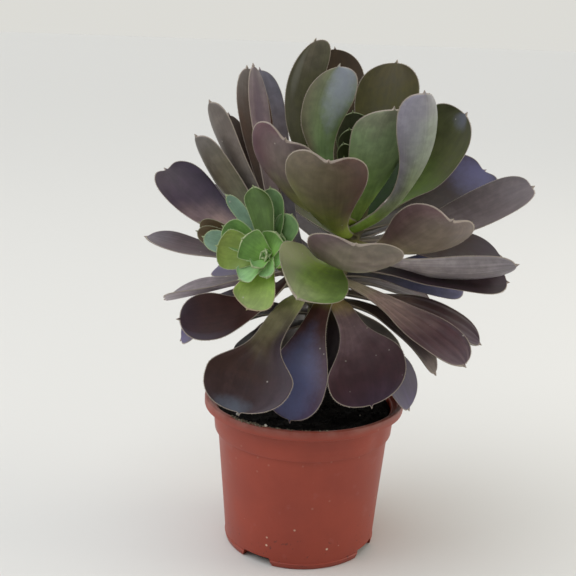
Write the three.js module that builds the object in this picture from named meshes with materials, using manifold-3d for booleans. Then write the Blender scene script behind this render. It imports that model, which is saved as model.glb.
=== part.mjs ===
// Potted aeonium: a dark-leaved succulent with one large rosette and one small green side rosette,
// on a leaning stem, in a round moulded plastic nursery pot filled with peat.
// Millimetres, +Z up, origin at the middle of the pot's base. The front of the plant faces -Y.

import * as THREE from "three";
import { mergeVertices } from "three/addons/utils/BufferGeometryUtils.js";
import Module from "manifold-3d";

const wasm = await Module();
wasm.setup();

// Pot
const POT_HEIGHT = 92;
const LIP_RADIUS = 59.5;
const LIP_INNER_RADIUS = 56.5;
const LIP_HEIGHT = 6;
const BAND_RADIUS = 54.3;
const BAND_FOOT_RADIUS = 53.2;
const BAND_HEIGHT = 15;
const WALL_TOP_RADIUS = 51.2;
const BASE_RADIUS = 45.6;
const WALL_THICKNESS = 1.6;
const FLOOR_THICKNESS = 2.4;
const POT_SIDES = 48;
const LEDGE_DROP = 3.8;
const LEDGE_THICKNESS = 1.3;
const RIM_ROUND = 0.6;
const NOTCH_ANGLES = [-123.5, -28.5, 51.5, 151.5];
const NOTCH_WIDTH = 21;
const NOTCH_HEIGHT = 5;
const NOTCH_DEPTH = 9;

const DRAIN_HOLES = 4;
const DRAIN_RADIUS = 4;
const DRAIN_CIRCLE = 24;
const DRAIN_SIDES = 12;

// Soil: its uneven top rises and falls by SOIL_ROUGHNESS in waves along x, along y and across both,
// each with its turns in radians a millimetre and its start
const SOIL_LEVEL = 86;
const SOIL_RINGS = [46, 37, 26, 14, 0];
const SOIL_SIDES = 28;
const SOIL_ROUGHNESS = 1.1;
const SOIL_WAVES = [
  [1, 0, 0.19, 1.2],
  [0, 1, 0.27, -0.4],
  [1, -1, 0.33, 0],
];
const SOIL_GAP = 0.5;

// Stem: between LEAN_FOOT and LEAN_TOP its axis swings to the right and a little back
const STEM_FOOT = 58;
const STEM_TOP = 208;
const STEM_FOOT_RADIUS = 7.5;
const STEM_TOP_RADIUS = 6.5;
const STEM_START_X = 2;
const LEAN_FOOT = 115;
const LEAN_TOP = 215;
const LEAN_X = 26;
const LEAN_Y = 10;
const STEM_SIDES = 16;
const STEM_STEPS = 14;

// Branch: the side shoot leaves the stem at the first point and carries the side rosette
const BRANCH_POINTS = [
  [8, 2, 144],
  [-2, -4, 162],
  [-6, -16, 174],
  [-17, -34, 182],
];
const BRANCH_RADIUS = 5;
const BRANCH_STEPS = 12;
const BRANCH_SIDES = 12;

// Crown: the growing tip of the large rosette, small leaves in a spiral on the end of the stem
const CROWN_HEIGHT = 20;
const CROWN_FOOT_RADIUS = 5.5;
const CROWN_TOP_RADIUS = 2;
const CROWN_SIDES = 12;
const CROWN_STEPS = 3;
const CROWN_ROOTS = [3, 18];
const CROWN_LEAVES = 10;
const SPIRAL_STEP = 137.5;
const SPIRAL_START = 70;
const CROWN_LENGTHS = [41, 12];
const CROWN_WIDTHS = [17, 6];
const CROWN_TILTS = [30, 3];
const CROWN_BOWS = [-3, -6];
// Young leaves in front of the spiral: their upper faces turn to YOUNG_FACING, and each has its tip and width
const YOUNG_FACING = [0, -1, 0.2];
const YOUNG_LEAVES = [
  [[22, 14, 260], 24],
  [[20, 7, 251], 17],
  [[17, 4, 243], 12],
];
const SPIRAL_CUP = 40;

// Side rosette: core on the end of the branch, and each leaf's tip, its bow, width, roll and cup
const SIDE_CORE_LENGTH = 13;
const SIDE_CORE_RADIUS = 4.4;
const SIDE_TIP_RADIUS = 1.6;
const SIDE_ROOT_SHARES = [0.25, 0.8];
const SIDE_LEAVES = [
  [[-32, -38, 223], 1, -7, 17, 0, 35],
  [[-23, -35, 222], 2, -7, 17, 0, 35],
  [[-11, -42, 209], 2, -5, 17, 0, 35],
  [[-19, -46, 200], 4, -3, 16, 0, 35],
  [[-37, -46, 196], 5, -3, 20, 0, 35],
  [[-51, -38, 190], 3, -4, 23, -10, 30],
  [[-48, -34, 200], 3, -4, 17, 0, 35],
  [[-59, -30, 193], 2, -4, 13, 0, 35],
  [[-63, -25, 195], 1, -4, 12, 0, 35],
  [[-62, -20, 199], 0, -4, 11, 0, 35],
  [[-38, -47, 174], 4, -3, 15, 10, 40],
  [[-33, -55, 160], 5, -5, 25, -12, 30],
  [[-16, -42, 198], 3, -3, 10, 0, 35],
  [[-23, -53, 177], 3, -2, 11, 0, 40],
  [[-31, -51, 182], 3, -2, 10, 0, 40],
  [[-15, -50, 185], 3, -2, 10, 0, 40],
  [[-47, -28, 216], 0, -5, 8, 25, 35],
];
const SIDE_BUD_LEAVES = 6;
const SIDE_BUD_LENGTH = 10;
const SIDE_BUD_WIDTH = 8;
const SIDE_BUD_TILT = 24;
const SIDE_BUD_SINK = 1;
const SIDE_BUD_BOWS = [1.5, -1];

// Clearance between a leaf and what it grows from
const SEAT_GAP = 0.3;
const ROOT_REACH = 8;
const SEAT_STEPS = 20;
const AXIS_SAMPLES = 60;
const MERGE_DISTANCE = 1e-4;

// Leaf blade
const ROOT_SHARE = 0.15;
const ROOT_SPAN = 0.16;
const PETIOLE_SHARE = 0.25;
const WIDEST_AT = 0.76;
const TIP_POWER = 2.7;
const NOTCH_SHARE = 0.16;
const NOTCH_FROM = 0.6;
const SKEW_FROM = 0.3;
const SKEW_SPAN = 0.4;
const ROLL_SPAN = 0.5;
const THICK_SPAN = 0.55;
const MUCRO_LENGTH = 2;
const MUCRO_HALF_WIDTH = 0.45;
const EDGE_THICKNESS = 0.9;
const PETIOLE_THICKNESS = 3.8;
const BLADE_THICKNESS = 1.9;
const LEAF_ROWS = [0, 0.16, 0.4, 0.58, 0.74, 0.86, 0.94, 0.985, 1];
const LEAF_COLUMNS = [-1, -0.5, 0, 0.5, 1];
const SMALL_ROWS = [0, 0.3, 0.55, 0.76, 0.92, 1];
const SMALL_COLUMNS = [-1, 0, 1];
const SMALL_SIZE = 0.7;

const POT_FINISH = { color: 0x8a4138, roughness: 0.5 };
const SOIL_FINISH = { color: 0x221c1a, roughness: 1 };
const STEM_FINISH = { color: 0x6f6f45, roughness: 0.8 };
const LEAF_ROUGHNESS = 0.55;
const TINTS = {
  green: 0x4f6b3c,
  olive: 0x4a4632,
  grey: 0x6b645f,
  mauve: 0x5c4a4c,
  purple: 0x43363d,
  dusky: 0x4a4450,
  fresh: 0x587d3e,
};

// Each large leaf: name, the shoot that it grows on, where (height on the stem, distance along the
// branch), its tip, how far the midrib bows towards the upper face near the root and near the tip, its
// sideways bow, its width, its roll and its cup in degrees, how late the blade widens, how far a notch
// sets the middle of its end back, how far its two edges slide past each other, and its tint.
const LEAVES = [
  ["leaf_top_1", "stem", 199, [-1, 38, 299], -20, -16, -14, 25, -10, 38, 0.8, 0, 11, "olive"],
  ["leaf_top_2", "stem", 195, [12, 66, 294], -9, -4, 0, 36, 0, 30, 1.5, 0, 0, "mauve"],
  ["leaf_top_3", "stem", 204, [12, -4, 286], -22, -14, 6, 29, 30, 30, 4, 0, -7, "green"],
  ["leaf_top_4", "stem", 203, [48, 38, 288], -9, -5, 0, 46, 0, 25, 1.5, 0, 0, "olive"],
  ["leaf_top_5", "stem", 202.4, [42, -22, 265], -1, -7, 0, 43, 0, 30, 0.6, 0, 0, "green"],
  ["leaf_top_6", "stem", 193.5, [56, -38, 275], -20, -12, -12, 32, 0, 50, 3.2, 0, 4, "grey"],
  ["leaf_top_7", "stem", 199, [89, 25, 260], -14, -8, 0, 49, 20, 30, 1.5, 0, -8, "olive"],
  ["leaf_right_1", "stem", 193.5, [109, 48, 226], -6, -4, 0, 44, 35, 30, 1.5, 3, 0, "purple"],
  ["leaf_right_2", "stem", 188, [127, 0, 223], -10, -8, 0, 36, 30, 30, 1.5, 1.5, 0, "grey"],
  ["leaf_right_3", "stem", 186, [73, -60, 214], -14, -13, 0, 47, -30, 40, 1.6, 3, 0, "mauve"],
  ["leaf_right_4", "stem", 182.5, [116, 25, 176], 4, 3, 0, 40, 20, 20, 1.7, 0, 0, "purple"],
  ["leaf_right_5", "stem", 179, [118, -12, 179], -4, -12, 0, 22, -55, 40, 1.5, 0, 0, "grey"],
  ["leaf_right_6", "stem", 172.5, [118, 8, 164], -1, 0, 0, 34, 25, 20, 1.7, 0, 0, "purple"],
  ["leaf_right_7", "stem", 167.5, [95, 24, 158], 3, 3, 0, 36, 35, 20, 1.7, 0, 0, "dusky"],
  ["leaf_low_right_1", "stem", 164.5, [86, -48, 130], 6, 4, 0, 38, 3, 20, 1.5, 0, 0, "purple"],
  ["leaf_low_right_2", "stem", 158, [101, -10, 131], 7, 8, 0, 38, 10, 20, 1.5, 0, 0, "purple"],
  ["leaf_low_right_3", "stem", 163.6, [80, 46, 139], 6, 5, 0, 33, 20, 20, 1.5, 0, 0, "purple"],
  ["leaf_low_right_4", "stem", 152.5, [74, -25, 117], 14, 12, 0, 18, 10, 30, 1.5, 0, 0, "grey"],
  ["leaf_skirt_1", "branch", 20, [-36, -56, 101], 12, 12, 0, 50, -25, 20, 8, 0, 2, "purple"],
  ["leaf_skirt_2", "stem", 163, [-8, -47, 94], 10, 10, 0, 37, 0, 15, 2.2, 0, 0, "dusky"],
  ["leaf_skirt_3", "stem", 154, [36, -56, 108], 12, 14, 0, 45, 20, 15, 4, 0, 4, "purple"],
  ["leaf_skirt_4", "stem", 147.5, [61, -20, 93], 8, 8, 0, 44, 0, 20, 2.2, 0, 0, "dusky"],
  ["leaf_skirt_5", "stem", 148, [22, -38, 108], 6, 6, 0, 24, 60, 40, 1.3, 0, 0, "purple"],
  ["leaf_left_1", "branch", 55, [-86.5, 7, 226], -6, -6, 0, 33, -28, 25, 1.8, 3, 0, "purple"],
  ["leaf_left_2", "branch", 47, [-93.5, -8, 187], 0, -4, 0, 26, -8, 25, 1.5, 0, 0, "mauve"],
  ["leaf_left_3", "branch", 33, [-54, 28, 163], 0, 0, 0, 31, -20, 20, 1.5, 0, 0, "dusky"],
  ["leaf_left_4", "branch", 42, [-83, -2, 149], 0, -1, 0, 30, 0, 40, 1.5, 0, 0, "grey"],
  ["leaf_left_5", "branch", 36.3, [-72, -32, 146], -12, -9, 0, 28, -58, 15, 3, 0, 0, "purple"],
  ["leaf_left_6", "branch", 28, [-74, 0, 124], 8, 8, 0, 34, -20, 20, 1.7, 0, 0, "dusky"],
  ["leaf_left_7", "stem", 141, [-37, 5, 136], 3, 4, 0, 30, 0, 20, 1.5, 0, 0, "purple"],
  ["leaf_left_8", "stem", 135, [-40, -16, 118], 6, 6, 0, 26, 0, 20, 1.5, 0, 0, "purple"],
  ["leaf_upper_left_1", "branch", 47.2, [-67, 3, 244], -5, -6, 4, 24, 65, 35, 1.5, 0, 0, "grey"],
  ["leaf_upper_left_2", "branch", 38, [-60, 10, 263], -5, -6, 0, 20, 67, 35, 1.5, 0, 0, "grey"],
  ["leaf_upper_left_3", "branch", 43, [-36, 12, 284], -14, -12, 2, 17, 12, 35, 1.5, 0, 0, "mauve"],
  ["leaf_upper_left_4", "branch", 34, [-40.5, 33, 282], -14, -12, 0, 24, 0, 30, 1.5, 0, 0, "mauve"],
  ["leaf_upper_left_5", "branch", 24, [-34, 63, 280], -14, -12, 0, 27, 0, 30, 1.5, 0, 0, "dusky"],
  ["leaf_upper_left_6", "branch", 29.5, [-51, 36, 254], -14, -12, 0, 23, 0, 30, 1.5, 0, 0, "purple"],
  ["leaf_front_1", "stem", 181.2, [20, -103, 209], -16, -19, 0, 51, -8, 30, 1.8, 4, 0, "mauve"],
  ["leaf_front_2", "stem", 196.2, [-15.5, -54, 253], -14, -12, 15, 47, -8, 25, 0.5, 4, 4, "mauve"],
  ["leaf_front_3", "stem", 188.7, [6, -85, 246], -12, -8, 8, 47, 0, 45, 1.3, 4, 0, "mauve"],
  ["leaf_front_4", "stem", 170.5, [-7, -85, 175], 4, 12, 1, 46, -32, 40, 1.2, 0, -3, "olive"],
  ["leaf_back_1", "stem", 196, [70, 95, 255], -12, -8, 0, 42, 0, 25, 1.5, 0, 0, "olive"],
  ["leaf_back_2", "stem", 190.5, [25, 110, 235], -12, -8, 0, 42, 0, 25, 1.5, 0, 0, "mauve"],
  ["leaf_back_3", "stem", 186.5, [-50, 90, 240], -12, -8, 0, 40, 0, 25, 1.5, 0, 0, "olive"],
  ["leaf_back_4", "stem", 187.5, [88, 85, 205], -4, -3, 0, 42, 0, 25, 1.7, 0, 0, "purple"],
  ["leaf_back_5", "stem", 181, [45, 115, 190], -4, -3, 0, 42, 0, 25, 1.7, 0, 0, "purple"],
  ["leaf_back_6", "stem", 175.5, [-15, 112, 200], -4, -3, 0, 42, 0, 25, 1.7, 0, 0, "purple"],
  ["leaf_back_7", "stem", 170, [-62, 78, 205], -4, -3, 0, 40, 0, 25, 1.7, 0, 0, "purple"],
  ["leaf_back_8", "stem", 156.5, [74, 71, 122], 6, 6, 0, 42, 0, 20, 2, 0, 0, "purple"],
  ["leaf_back_9", "stem", 164, [20, 88, 135], 6, 6, 0, 42, 0, 20, 2, 0, 0, "purple"],
  ["leaf_back_10", "stem", 160, [-42, 66, 145], 6, 6, 0, 40, 0, 20, 2, 0, 0, "purple"],
  ["leaf_back_11", "stem", 150, [48, 52, 98], 10, 10, 0, 42, 0, 20, 2.2, 0, 0, "dusky"],
  ["leaf_back_12", "stem", 152, [-18, 55, 98], 10, 10, 0, 42, 0, 20, 2.2, 0, 0, "dusky"],
];

const smoothstep = (t) => {
  const x = Math.min(Math.max(t, 0), 1);
  return x * x * (3 - 2 * x);
};

const radians = THREE.MathUtils.degToRad;
const UP = new THREE.Vector3(0, 0, 1);

// The point on the stem's axis at height z.
function stemAxis(z) {
  const lean = smoothstep((z - LEAN_FOOT) / (LEAN_TOP - LEAN_FOOT));
  return new THREE.Vector3(STEM_START_X + LEAN_X * lean, LEAN_Y * lean, z);
}

function stemRadius(z) {
  const share = (z - STEM_FOOT) / (STEM_TOP - STEM_FOOT);
  return STEM_FOOT_RADIUS + (STEM_TOP_RADIUS - STEM_FOOT_RADIUS) * share;
}

const branchCurve = new THREE.CubicBezierCurve3(...BRANCH_POINTS.map((p) => new THREE.Vector3(...p)));

// What leaves grow on: a shoot's axis and its radius at a place along it, which is the height on the
// stem and the distance along the branch, and samples of both from end to end.
function shoot(from, to, pointAt, radiusAt) {
  const samples = Array.from({ length: AXIS_SAMPLES }, (unused, i) => {
    const at = from + ((to - from) * i) / (AXIS_SAMPLES - 1);
    return { point: pointAt(at), radius: radiusAt(at) };
  });
  return { pointAt, radiusAt, samples };
}

const branchLength = branchCurve.getLength();
const alongBranch = (at) => branchCurve.getPointAt(Math.min(at / branchLength, 1));
const shoots = {
  stem: shoot(STEM_FOOT, STEM_TOP + SEAT_GAP, stemAxis, stemRadius),
  branch: shoot(0, branchLength, alongBranch, () => BRANCH_RADIUS),
};

// A closed body from a geometry whose vertices may still be doubled along its seams.
function solidOf(geometry) {
  const bare = geometry.clone();
  bare.deleteAttribute("normal");
  bare.deleteAttribute("uv");
  const merged = mergeVertices(bare, MERGE_DISTANCE);
  return new wasm.Manifold(
    new wasm.Mesh({
      numProp: 3,
      vertProperties: new Float32Array(merged.attributes.position.array),
      triVerts: new Uint32Array(merged.index.array),
    }),
  );
}

function geometryOf(solid) {
  const mesh = solid.getMesh();
  const geometry = new THREE.BufferGeometry();
  geometry.setAttribute("position", new THREE.BufferAttribute(mesh.vertProperties, 3));
  geometry.setIndex(new THREE.BufferAttribute(mesh.triVerts, 1));
  return geometry;
}

function namedMesh(name, geometry, { color, roughness }) {
  const flat = geometry.index ? geometry.toNonIndexed() : geometry;
  flat.computeVertexNormals();
  const material = new THREE.MeshStandardMaterial({ color, roughness, metalness: 0 });
  const mesh = new THREE.Mesh(flat, material);
  mesh.name = name;
  return mesh;
}

// How far the blade has rounded off at s: 1 up to its widest place and 0 at its tip.
function tipRound(s) {
  return s <= WIDEST_AT ? 1 : Math.sqrt(1 - ((s - WIDEST_AT) / (1 - WIDEST_AT)) ** TIP_POWER);
}

// Half the blade's width at s along the leaf, as a share of its greatest half width.
function widthShare(s, widening) {
  if (s <= WIDEST_AT) {
    const petiole = ROOT_SHARE + (PETIOLE_SHARE - ROOT_SHARE) * smoothstep(s / ROOT_SPAN);
    return petiole + (1 - petiole) * smoothstep(s / WIDEST_AT) ** widening;
  }
  return tipRound(s);
}

function bezier(points, s) {
  const r = 1 - s;
  return new THREE.Vector3()
    .addScaledVector(points[0], r * r * r)
    .addScaledVector(points[1], 3 * r * r * s)
    .addScaledVector(points[2], 3 * r * s * s)
    .addScaledVector(points[3], s * s * s);
}

function bezierTangent(points, s) {
  const r = 1 - s;
  return new THREE.Vector3()
    .addScaledVector(points[1].clone().sub(points[0]), r * r)
    .addScaledVector(points[2].clone().sub(points[1]), 2 * r * s)
    .addScaledVector(points[3].clone().sub(points[2]), s * s)
    .normalize();
}

// The midrib's four control points and the direction that the upper face turns to before its roll,
// which is the rosette's axis as nearly as the leaf's own direction allows.
function midrib(root, tip, bowRoot, bowTip, side, axis) {
  const chord = tip.clone().sub(root);
  const along = chord.clone().normalize();
  const up = axis.clone().addScaledVector(along, -along.dot(axis)).normalize();
  const across = along.clone().cross(up);
  const near = root.clone().addScaledVector(chord, 1 / 3);
  const far = root.clone().addScaledVector(chord, 2 / 3);
  near.addScaledVector(up, bowRoot).addScaledVector(across, side);
  far.addScaledVector(up, bowTip).addScaledVector(across, side);
  return { points: [root, near, far, tip], up };
}

// A closed spathulate blade along the midrib: cupped across, thick in the middle, with a fine point.
// A notch sets the middle of its rounded end back, and a skew slides its two edges past each other.
// Both faces are split into triangles along the same diagonals.
function bladeGeometry(rib, leaf) {
  const position = [];
  const index = [];
  const rows = leaf.rows;
  const columns = leaf.columns;
  const count = columns.length;
  const cup = radians(leaf.cup);
  for (const s of rows) {
    const last = s === 1;
    const centre = bezier(rib.points, s);
    const along = bezierTangent(rib.points, s);
    if (last) {
      centre.addScaledVector(along, MUCRO_LENGTH * leaf.size);
    }
    const normal = rib.up.clone().addScaledVector(along, -along.dot(rib.up)).normalize();
    normal.applyAxisAngle(along, radians(leaf.roll) * smoothstep(s / ROLL_SPAN));
    const across = along.clone().cross(normal);
    const half = last ? MUCRO_HALF_WIDTH : (leaf.width / 2) * widthShare(s, leaf.widening);
    const middle = PETIOLE_THICKNESS + (BLADE_THICKNESS - PETIOLE_THICKNESS) * smoothstep(s / THICK_SPAN);
    const notch = leaf.notch * smoothstep((s - NOTCH_FROM) / (1 - NOTCH_FROM));
    const skew = leaf.skew * smoothstep((s - SKEW_FROM) / SKEW_SPAN) * tipRound(s);
    for (const face of [1, -1]) {
      for (const v of columns) {
        const angle = cup * v;
        const thick = EDGE_THICKNESS + (middle * leaf.size - EDGE_THICKNESS) * (last ? 0 : 1 - v * v);
        const lift = (half / cup) * (1 - Math.cos(angle)) + (face * Math.max(thick, EDGE_THICKNESS)) / 2;
        const reach = (half / cup) * Math.sin(angle);
        const setBack = notch * Math.exp(-((reach / (NOTCH_SHARE * leaf.width)) ** 2));
        const point = centre
          .clone()
          .addScaledVector(across, reach)
          .addScaledVector(normal, lift)
          .addScaledVector(along, skew * v - setBack);
        if (s === 0 && leaf.seat) {
          leaf.seat(point, along);
        }
        position.push(point.x, point.y, point.z);
      }
    }
  }
  const quad = (a, b, c, d) => index.push(a, c, b, a, d, c);
  const ring = 2 * count;
  for (let i = 0; i + 1 < rows.length; i++) {
    const a = i * ring;
    const b = a + ring;
    for (let j = 0; j + 1 < count; j++) {
      quad(a + j, b + j, b + j + 1, a + j + 1);
      index.push(a + count + j, b + count + j, b + count + j + 1);
      index.push(a + count + j, b + count + j + 1, a + count + j + 1);
    }
    quad(a, a + count, b + count, b);
    quad(a + count - 1, b + count - 1, b + 2 * count - 1, a + 2 * count - 1);
  }
  const end = (rows.length - 1) * ring;
  for (let j = 0; j + 1 < count; j++) {
    quad(j, j + 1, count + j + 1, count + j);
    quad(end + j, end + count + j, end + count + j + 1, end + j + 1);
  }
  const geometry = new THREE.BufferGeometry();
  geometry.setAttribute("position", new THREE.Float32BufferAttribute(position, 3));
  geometry.setIndex(index);
  return geometry;
}

// A closed round body about the stem's axis, from one height to another.
function leaningSolid(from, to, radiusAt, sides, steps) {
  const height = to - from;
  const cylinder = new THREE.CylinderGeometry(1, 1, height, sides, steps).rotateX(Math.PI / 2);
  cylinder.translate(0, 0, from + height / 2);
  const places = cylinder.attributes.position;
  for (let i = 0; i < places.count; i++) {
    const z = places.getZ(i);
    const axis = stemAxis(z);
    const radius = radiusAt(z);
    places.setXYZ(i, axis.x + places.getX(i) * radius, axis.y + places.getY(i) * radius, z);
  }
  return solidOf(cylinder);
}

// The stem and its branch, grown together as one body.
function stemGeometry() {
  const circle = new THREE.Shape().absarc(0, 0, BRANCH_RADIUS, 0, 2 * Math.PI);
  const branch = new THREE.ExtrudeGeometry(circle, {
    steps: BRANCH_STEPS,
    curveSegments: BRANCH_SIDES / 4,
    bevelEnabled: false,
    extrudePath: branchCurve,
  });
  const trunk = leaningSolid(STEM_FOOT, STEM_TOP, stemRadius, STEM_SIDES, STEM_STEPS);
  return geometryOf(trunk.add(solidOf(branch)));
}

function turned(points, sides) {
  const lathe = new THREE.LatheGeometry(points.map(([x, y]) => new THREE.Vector2(x, y)), sides);
  return solidOf(lathe.rotateX(Math.PI / 2));
}

// The pot's outer outline and its cavity's, from the bottom up.
const wallFoot = POT_HEIGHT - LIP_HEIGHT - BAND_HEIGHT;
const bandTop = POT_HEIGHT - LIP_HEIGHT;
const ledgeTop = POT_HEIGHT - LEDGE_DROP;
const outerOutline = [
  [BASE_RADIUS, 0],
  [WALL_TOP_RADIUS, wallFoot],
  [BAND_FOOT_RADIUS, wallFoot + RIM_ROUND],
  [BAND_RADIUS, bandTop],
  [LIP_RADIUS, bandTop + RIM_ROUND],
  [LIP_RADIUS, POT_HEIGHT - RIM_ROUND],
  [LIP_RADIUS - RIM_ROUND, POT_HEIGHT],
];
const cavityOutline = [
  [BASE_RADIUS - WALL_THICKNESS, FLOOR_THICKNESS],
  [WALL_TOP_RADIUS - WALL_THICKNESS, wallFoot - RIM_ROUND],
  [BAND_FOOT_RADIUS - WALL_THICKNESS, wallFoot + RIM_ROUND],
  [BAND_RADIUS - WALL_THICKNESS, ledgeTop - LEDGE_THICKNESS],
  [BAND_RADIUS - WALL_THICKNESS + RIM_ROUND, ledgeTop],
  [LIP_INNER_RADIUS - RIM_ROUND, ledgeTop],
  [LIP_INNER_RADIUS, POT_HEIGHT - RIM_ROUND],
  [LIP_INNER_RADIUS + RIM_ROUND, POT_HEIGHT],
];

// A block as large as a foot notch, or as the moulded wall round it where grow is more than 0.
function notchBlock(angle, grow) {
  const reach = LIP_RADIUS - BASE_RADIUS + NOTCH_DEPTH + grow;
  const height = 2 * (NOTCH_HEIGHT + grow);
  const block = new THREE.BoxGeometry(reach, NOTCH_WIDTH + 2 * grow, height);
  block.translate(BASE_RADIUS - NOTCH_DEPTH - grow + reach / 2, 0, 0);
  return solidOf(block.rotateZ(radians(angle)));
}

function potGeometry() {
  const outer = turned([[0, 0], ...outerOutline, [0, POT_HEIGHT]], POT_SIDES);
  let cavity = turned([[0, FLOOR_THICKNESS], ...cavityOutline, [0, POT_HEIGHT]], POT_SIDES);
  for (const angle of NOTCH_ANGLES) {
    cavity = cavity.subtract(notchBlock(angle, WALL_THICKNESS));
  }
  let pot = outer.subtract(cavity);
  for (const angle of NOTCH_ANGLES) {
    pot = pot.subtract(notchBlock(angle, 0));
  }
  for (let i = 0; i < DRAIN_HOLES; i++) {
    const angle = (2 * Math.PI * i) / DRAIN_HOLES;
    const depth = 4 * FLOOR_THICKNESS;
    const hole = new THREE.CylinderGeometry(DRAIN_RADIUS, DRAIN_RADIUS, depth, DRAIN_SIDES);
    hole.rotateX(Math.PI / 2).translate(DRAIN_CIRCLE * Math.cos(angle), DRAIN_CIRCLE * Math.sin(angle), 0);
    pot = pot.subtract(solidOf(hole));
  }
  return geometryOf(pot);
}

// The peat fills the pot to SOIL_LEVEL, clear of the wall, with a plain hole for the stem.
function soilGeometry() {
  const fill = cavityOutline.slice(0, 3).map(([x, z]) => [x - SOIL_GAP, z + SOIL_GAP]);
  const edge = [BAND_RADIUS - WALL_THICKNESS - 2 * SOIL_GAP, SOIL_LEVEL - 2 * SOIL_ROUGHNESS];
  const top = SOIL_RINGS.map((radius) => [radius, SOIL_LEVEL]);
  const outline = [[0, FLOOR_THICKNESS + SOIL_GAP], ...fill, edge, ...top];
  const lathe = new THREE.LatheGeometry(outline.map(([x, y]) => new THREE.Vector2(x, y)), SOIL_SIDES);
  lathe.rotateX(Math.PI / 2);
  const places = lathe.attributes.position;
  for (let i = 0; i < places.count; i++) {
    const [x, y, z] = [places.getX(i), places.getY(i), places.getZ(i)];
    if (z > SOIL_LEVEL - SOIL_ROUGHNESS) {
      const heights = SOIL_WAVES.map(([a, b, turns, start]) => Math.sin(turns * (a * x + b * y) + start));
      const wave = heights.reduce((sum, height) => sum + height);
      places.setZ(i, z + (SOIL_ROUGHNESS * wave) / 2);
    }
  }
  let soil = solidOf(lathe);
  for (const angle of NOTCH_ANGLES) {
    soil = soil.subtract(notchBlock(angle, WALL_THICKNESS + SOIL_GAP));
  }
  const hole = (z) => stemRadius(z) + SEAT_GAP;
  return geometryOf(soil.subtract(leaningSolid(STEM_FOOT - SEAT_GAP, LEAN_FOOT, hole, STEM_SIDES, 1)));
}

// One small leaf as a closed body, from inside the core that it grows on.
function smallLeaf(root, tip, axis, [bowRoot, bowTip], width, roll, cup) {
  const rib = midrib(root, tip, bowRoot, bowTip, 0, axis);
  const split = { rows: SMALL_ROWS, columns: SMALL_COLUMNS };
  const form = { width, roll, cup, widening: 1, notch: 0, skew: 0, size: SMALL_SIZE };
  return solidOf(bladeGeometry(rib, { ...split, ...form }));
}

function spiralLeaf(root, axis, angle, tilt, length, width, bows) {
  const start = new THREE.Vector3(1, 0, 0).addScaledVector(axis, -axis.x).normalize();
  const outward = start.applyAxisAngle(axis, radians(angle));
  const tip = root.clone().addScaledVector(axis, length * Math.cos(radians(tilt)));
  tip.addScaledVector(outward, length * Math.sin(radians(tilt)));
  return smallLeaf(root, tip, axis, bows, width, 0, SPIRAL_CUP);
}

const between = ([first, last], share) => first + (last - first) * share;

// The growing tip: a spiral of leaves, the outer ones longest and most open, fused to their core.
function crownGeometry() {
  const foot = STEM_TOP + SEAT_GAP;
  const top = foot + CROWN_HEIGHT;
  const taper = (z) => between([CROWN_FOOT_RADIUS, CROWN_TOP_RADIUS], (z - foot) / CROWN_HEIGHT);
  let crown = leaningSolid(foot, top, taper, CROWN_SIDES, CROWN_STEPS);
  const axis = stemAxis(top).sub(stemAxis(foot)).normalize();
  for (let i = 0; i < CROWN_LEAVES; i++) {
    const share = i / (CROWN_LEAVES - 1);
    const root = stemAxis(foot + between(CROWN_ROOTS, share));
    const length = between(CROWN_LENGTHS, share);
    const bows = CROWN_BOWS.map((bow) => bow * (1 - share));
    const angle = SPIRAL_START + SPIRAL_STEP * i;
    const width = between(CROWN_WIDTHS, share);
    crown = crown.add(spiralLeaf(root, axis, angle, between(CROWN_TILTS, share), length, width, bows));
  }
  const root = stemAxis(foot + CROWN_ROOTS[0]);
  const facing = new THREE.Vector3(...YOUNG_FACING);
  for (const [place, width] of YOUNG_LEAVES) {
    const tip = new THREE.Vector3(...place);
    crown = crown.add(smallLeaf(root, tip, facing, CROWN_BOWS, width, 0, SPIRAL_CUP));
  }
  return geometryOf(crown);
}

// The small green rosette that looks out to the front left, fused to its core.
function sideRosetteGeometry() {
  const axis = branchCurve.getTangent(1);
  const foot = branchCurve.getPoint(1).addScaledVector(axis, SEAT_GAP);
  const core = new THREE.CylinderGeometry(
    SIDE_TIP_RADIUS,
    SIDE_CORE_RADIUS,
    SIDE_CORE_LENGTH,
    BRANCH_SIDES,
  );
  core.translate(0, SIDE_CORE_LENGTH / 2, 0);
  const lean = new THREE.Quaternion().setFromUnitVectors(new THREE.Vector3(0, 1, 0), axis);
  core.applyQuaternion(lean).translate(foot.x, foot.y, foot.z);
  let rosette = solidOf(core);
  for (const [place, bowRoot, bowTip, width, roll, cup] of SIDE_LEAVES) {
    const tip = new THREE.Vector3(...place);
    const facing = tip.clone().sub(foot).normalize().dot(axis);
    const share = THREE.MathUtils.clamp(facing, ...SIDE_ROOT_SHARES);
    const root = foot.clone().addScaledVector(axis, SIDE_CORE_LENGTH * share);
    rosette = rosette.add(smallLeaf(root, tip, axis, [bowRoot, bowTip], width, roll, cup));
  }
  const bud = foot.clone().addScaledVector(axis, SIDE_CORE_LENGTH - SIDE_BUD_SINK);
  for (let i = 0; i < SIDE_BUD_LEAVES; i++) {
    const angle = SPIRAL_STEP * i;
    const length = SIDE_BUD_LENGTH - i;
    const leaf = spiralLeaf(bud, axis, angle, SIDE_BUD_TILT, length, SIDE_BUD_WIDTH, SIDE_BUD_BOWS);
    rosette = rosette.add(leaf);
  }
  return geometryOf(rosette);
}

// A leaf starts at its shoot's surface, on the side that its tip lies on.
function leafRoot({ pointAt, radiusAt }, at, tip) {
  const here = pointAt(at);
  const along = pointAt(at).sub(pointAt(at - 1)).normalize();
  const outward = tip.clone().sub(here);
  outward.addScaledVector(along, -outward.dot(along)).normalize();
  return here.addScaledVector(outward, radiusAt(at));
}

// How far a point is from a shoot's surface.
function clearance(point, samples) {
  return Math.min(...samples.map((sample) => sample.point.distanceTo(point) - sample.radius));
}

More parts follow.
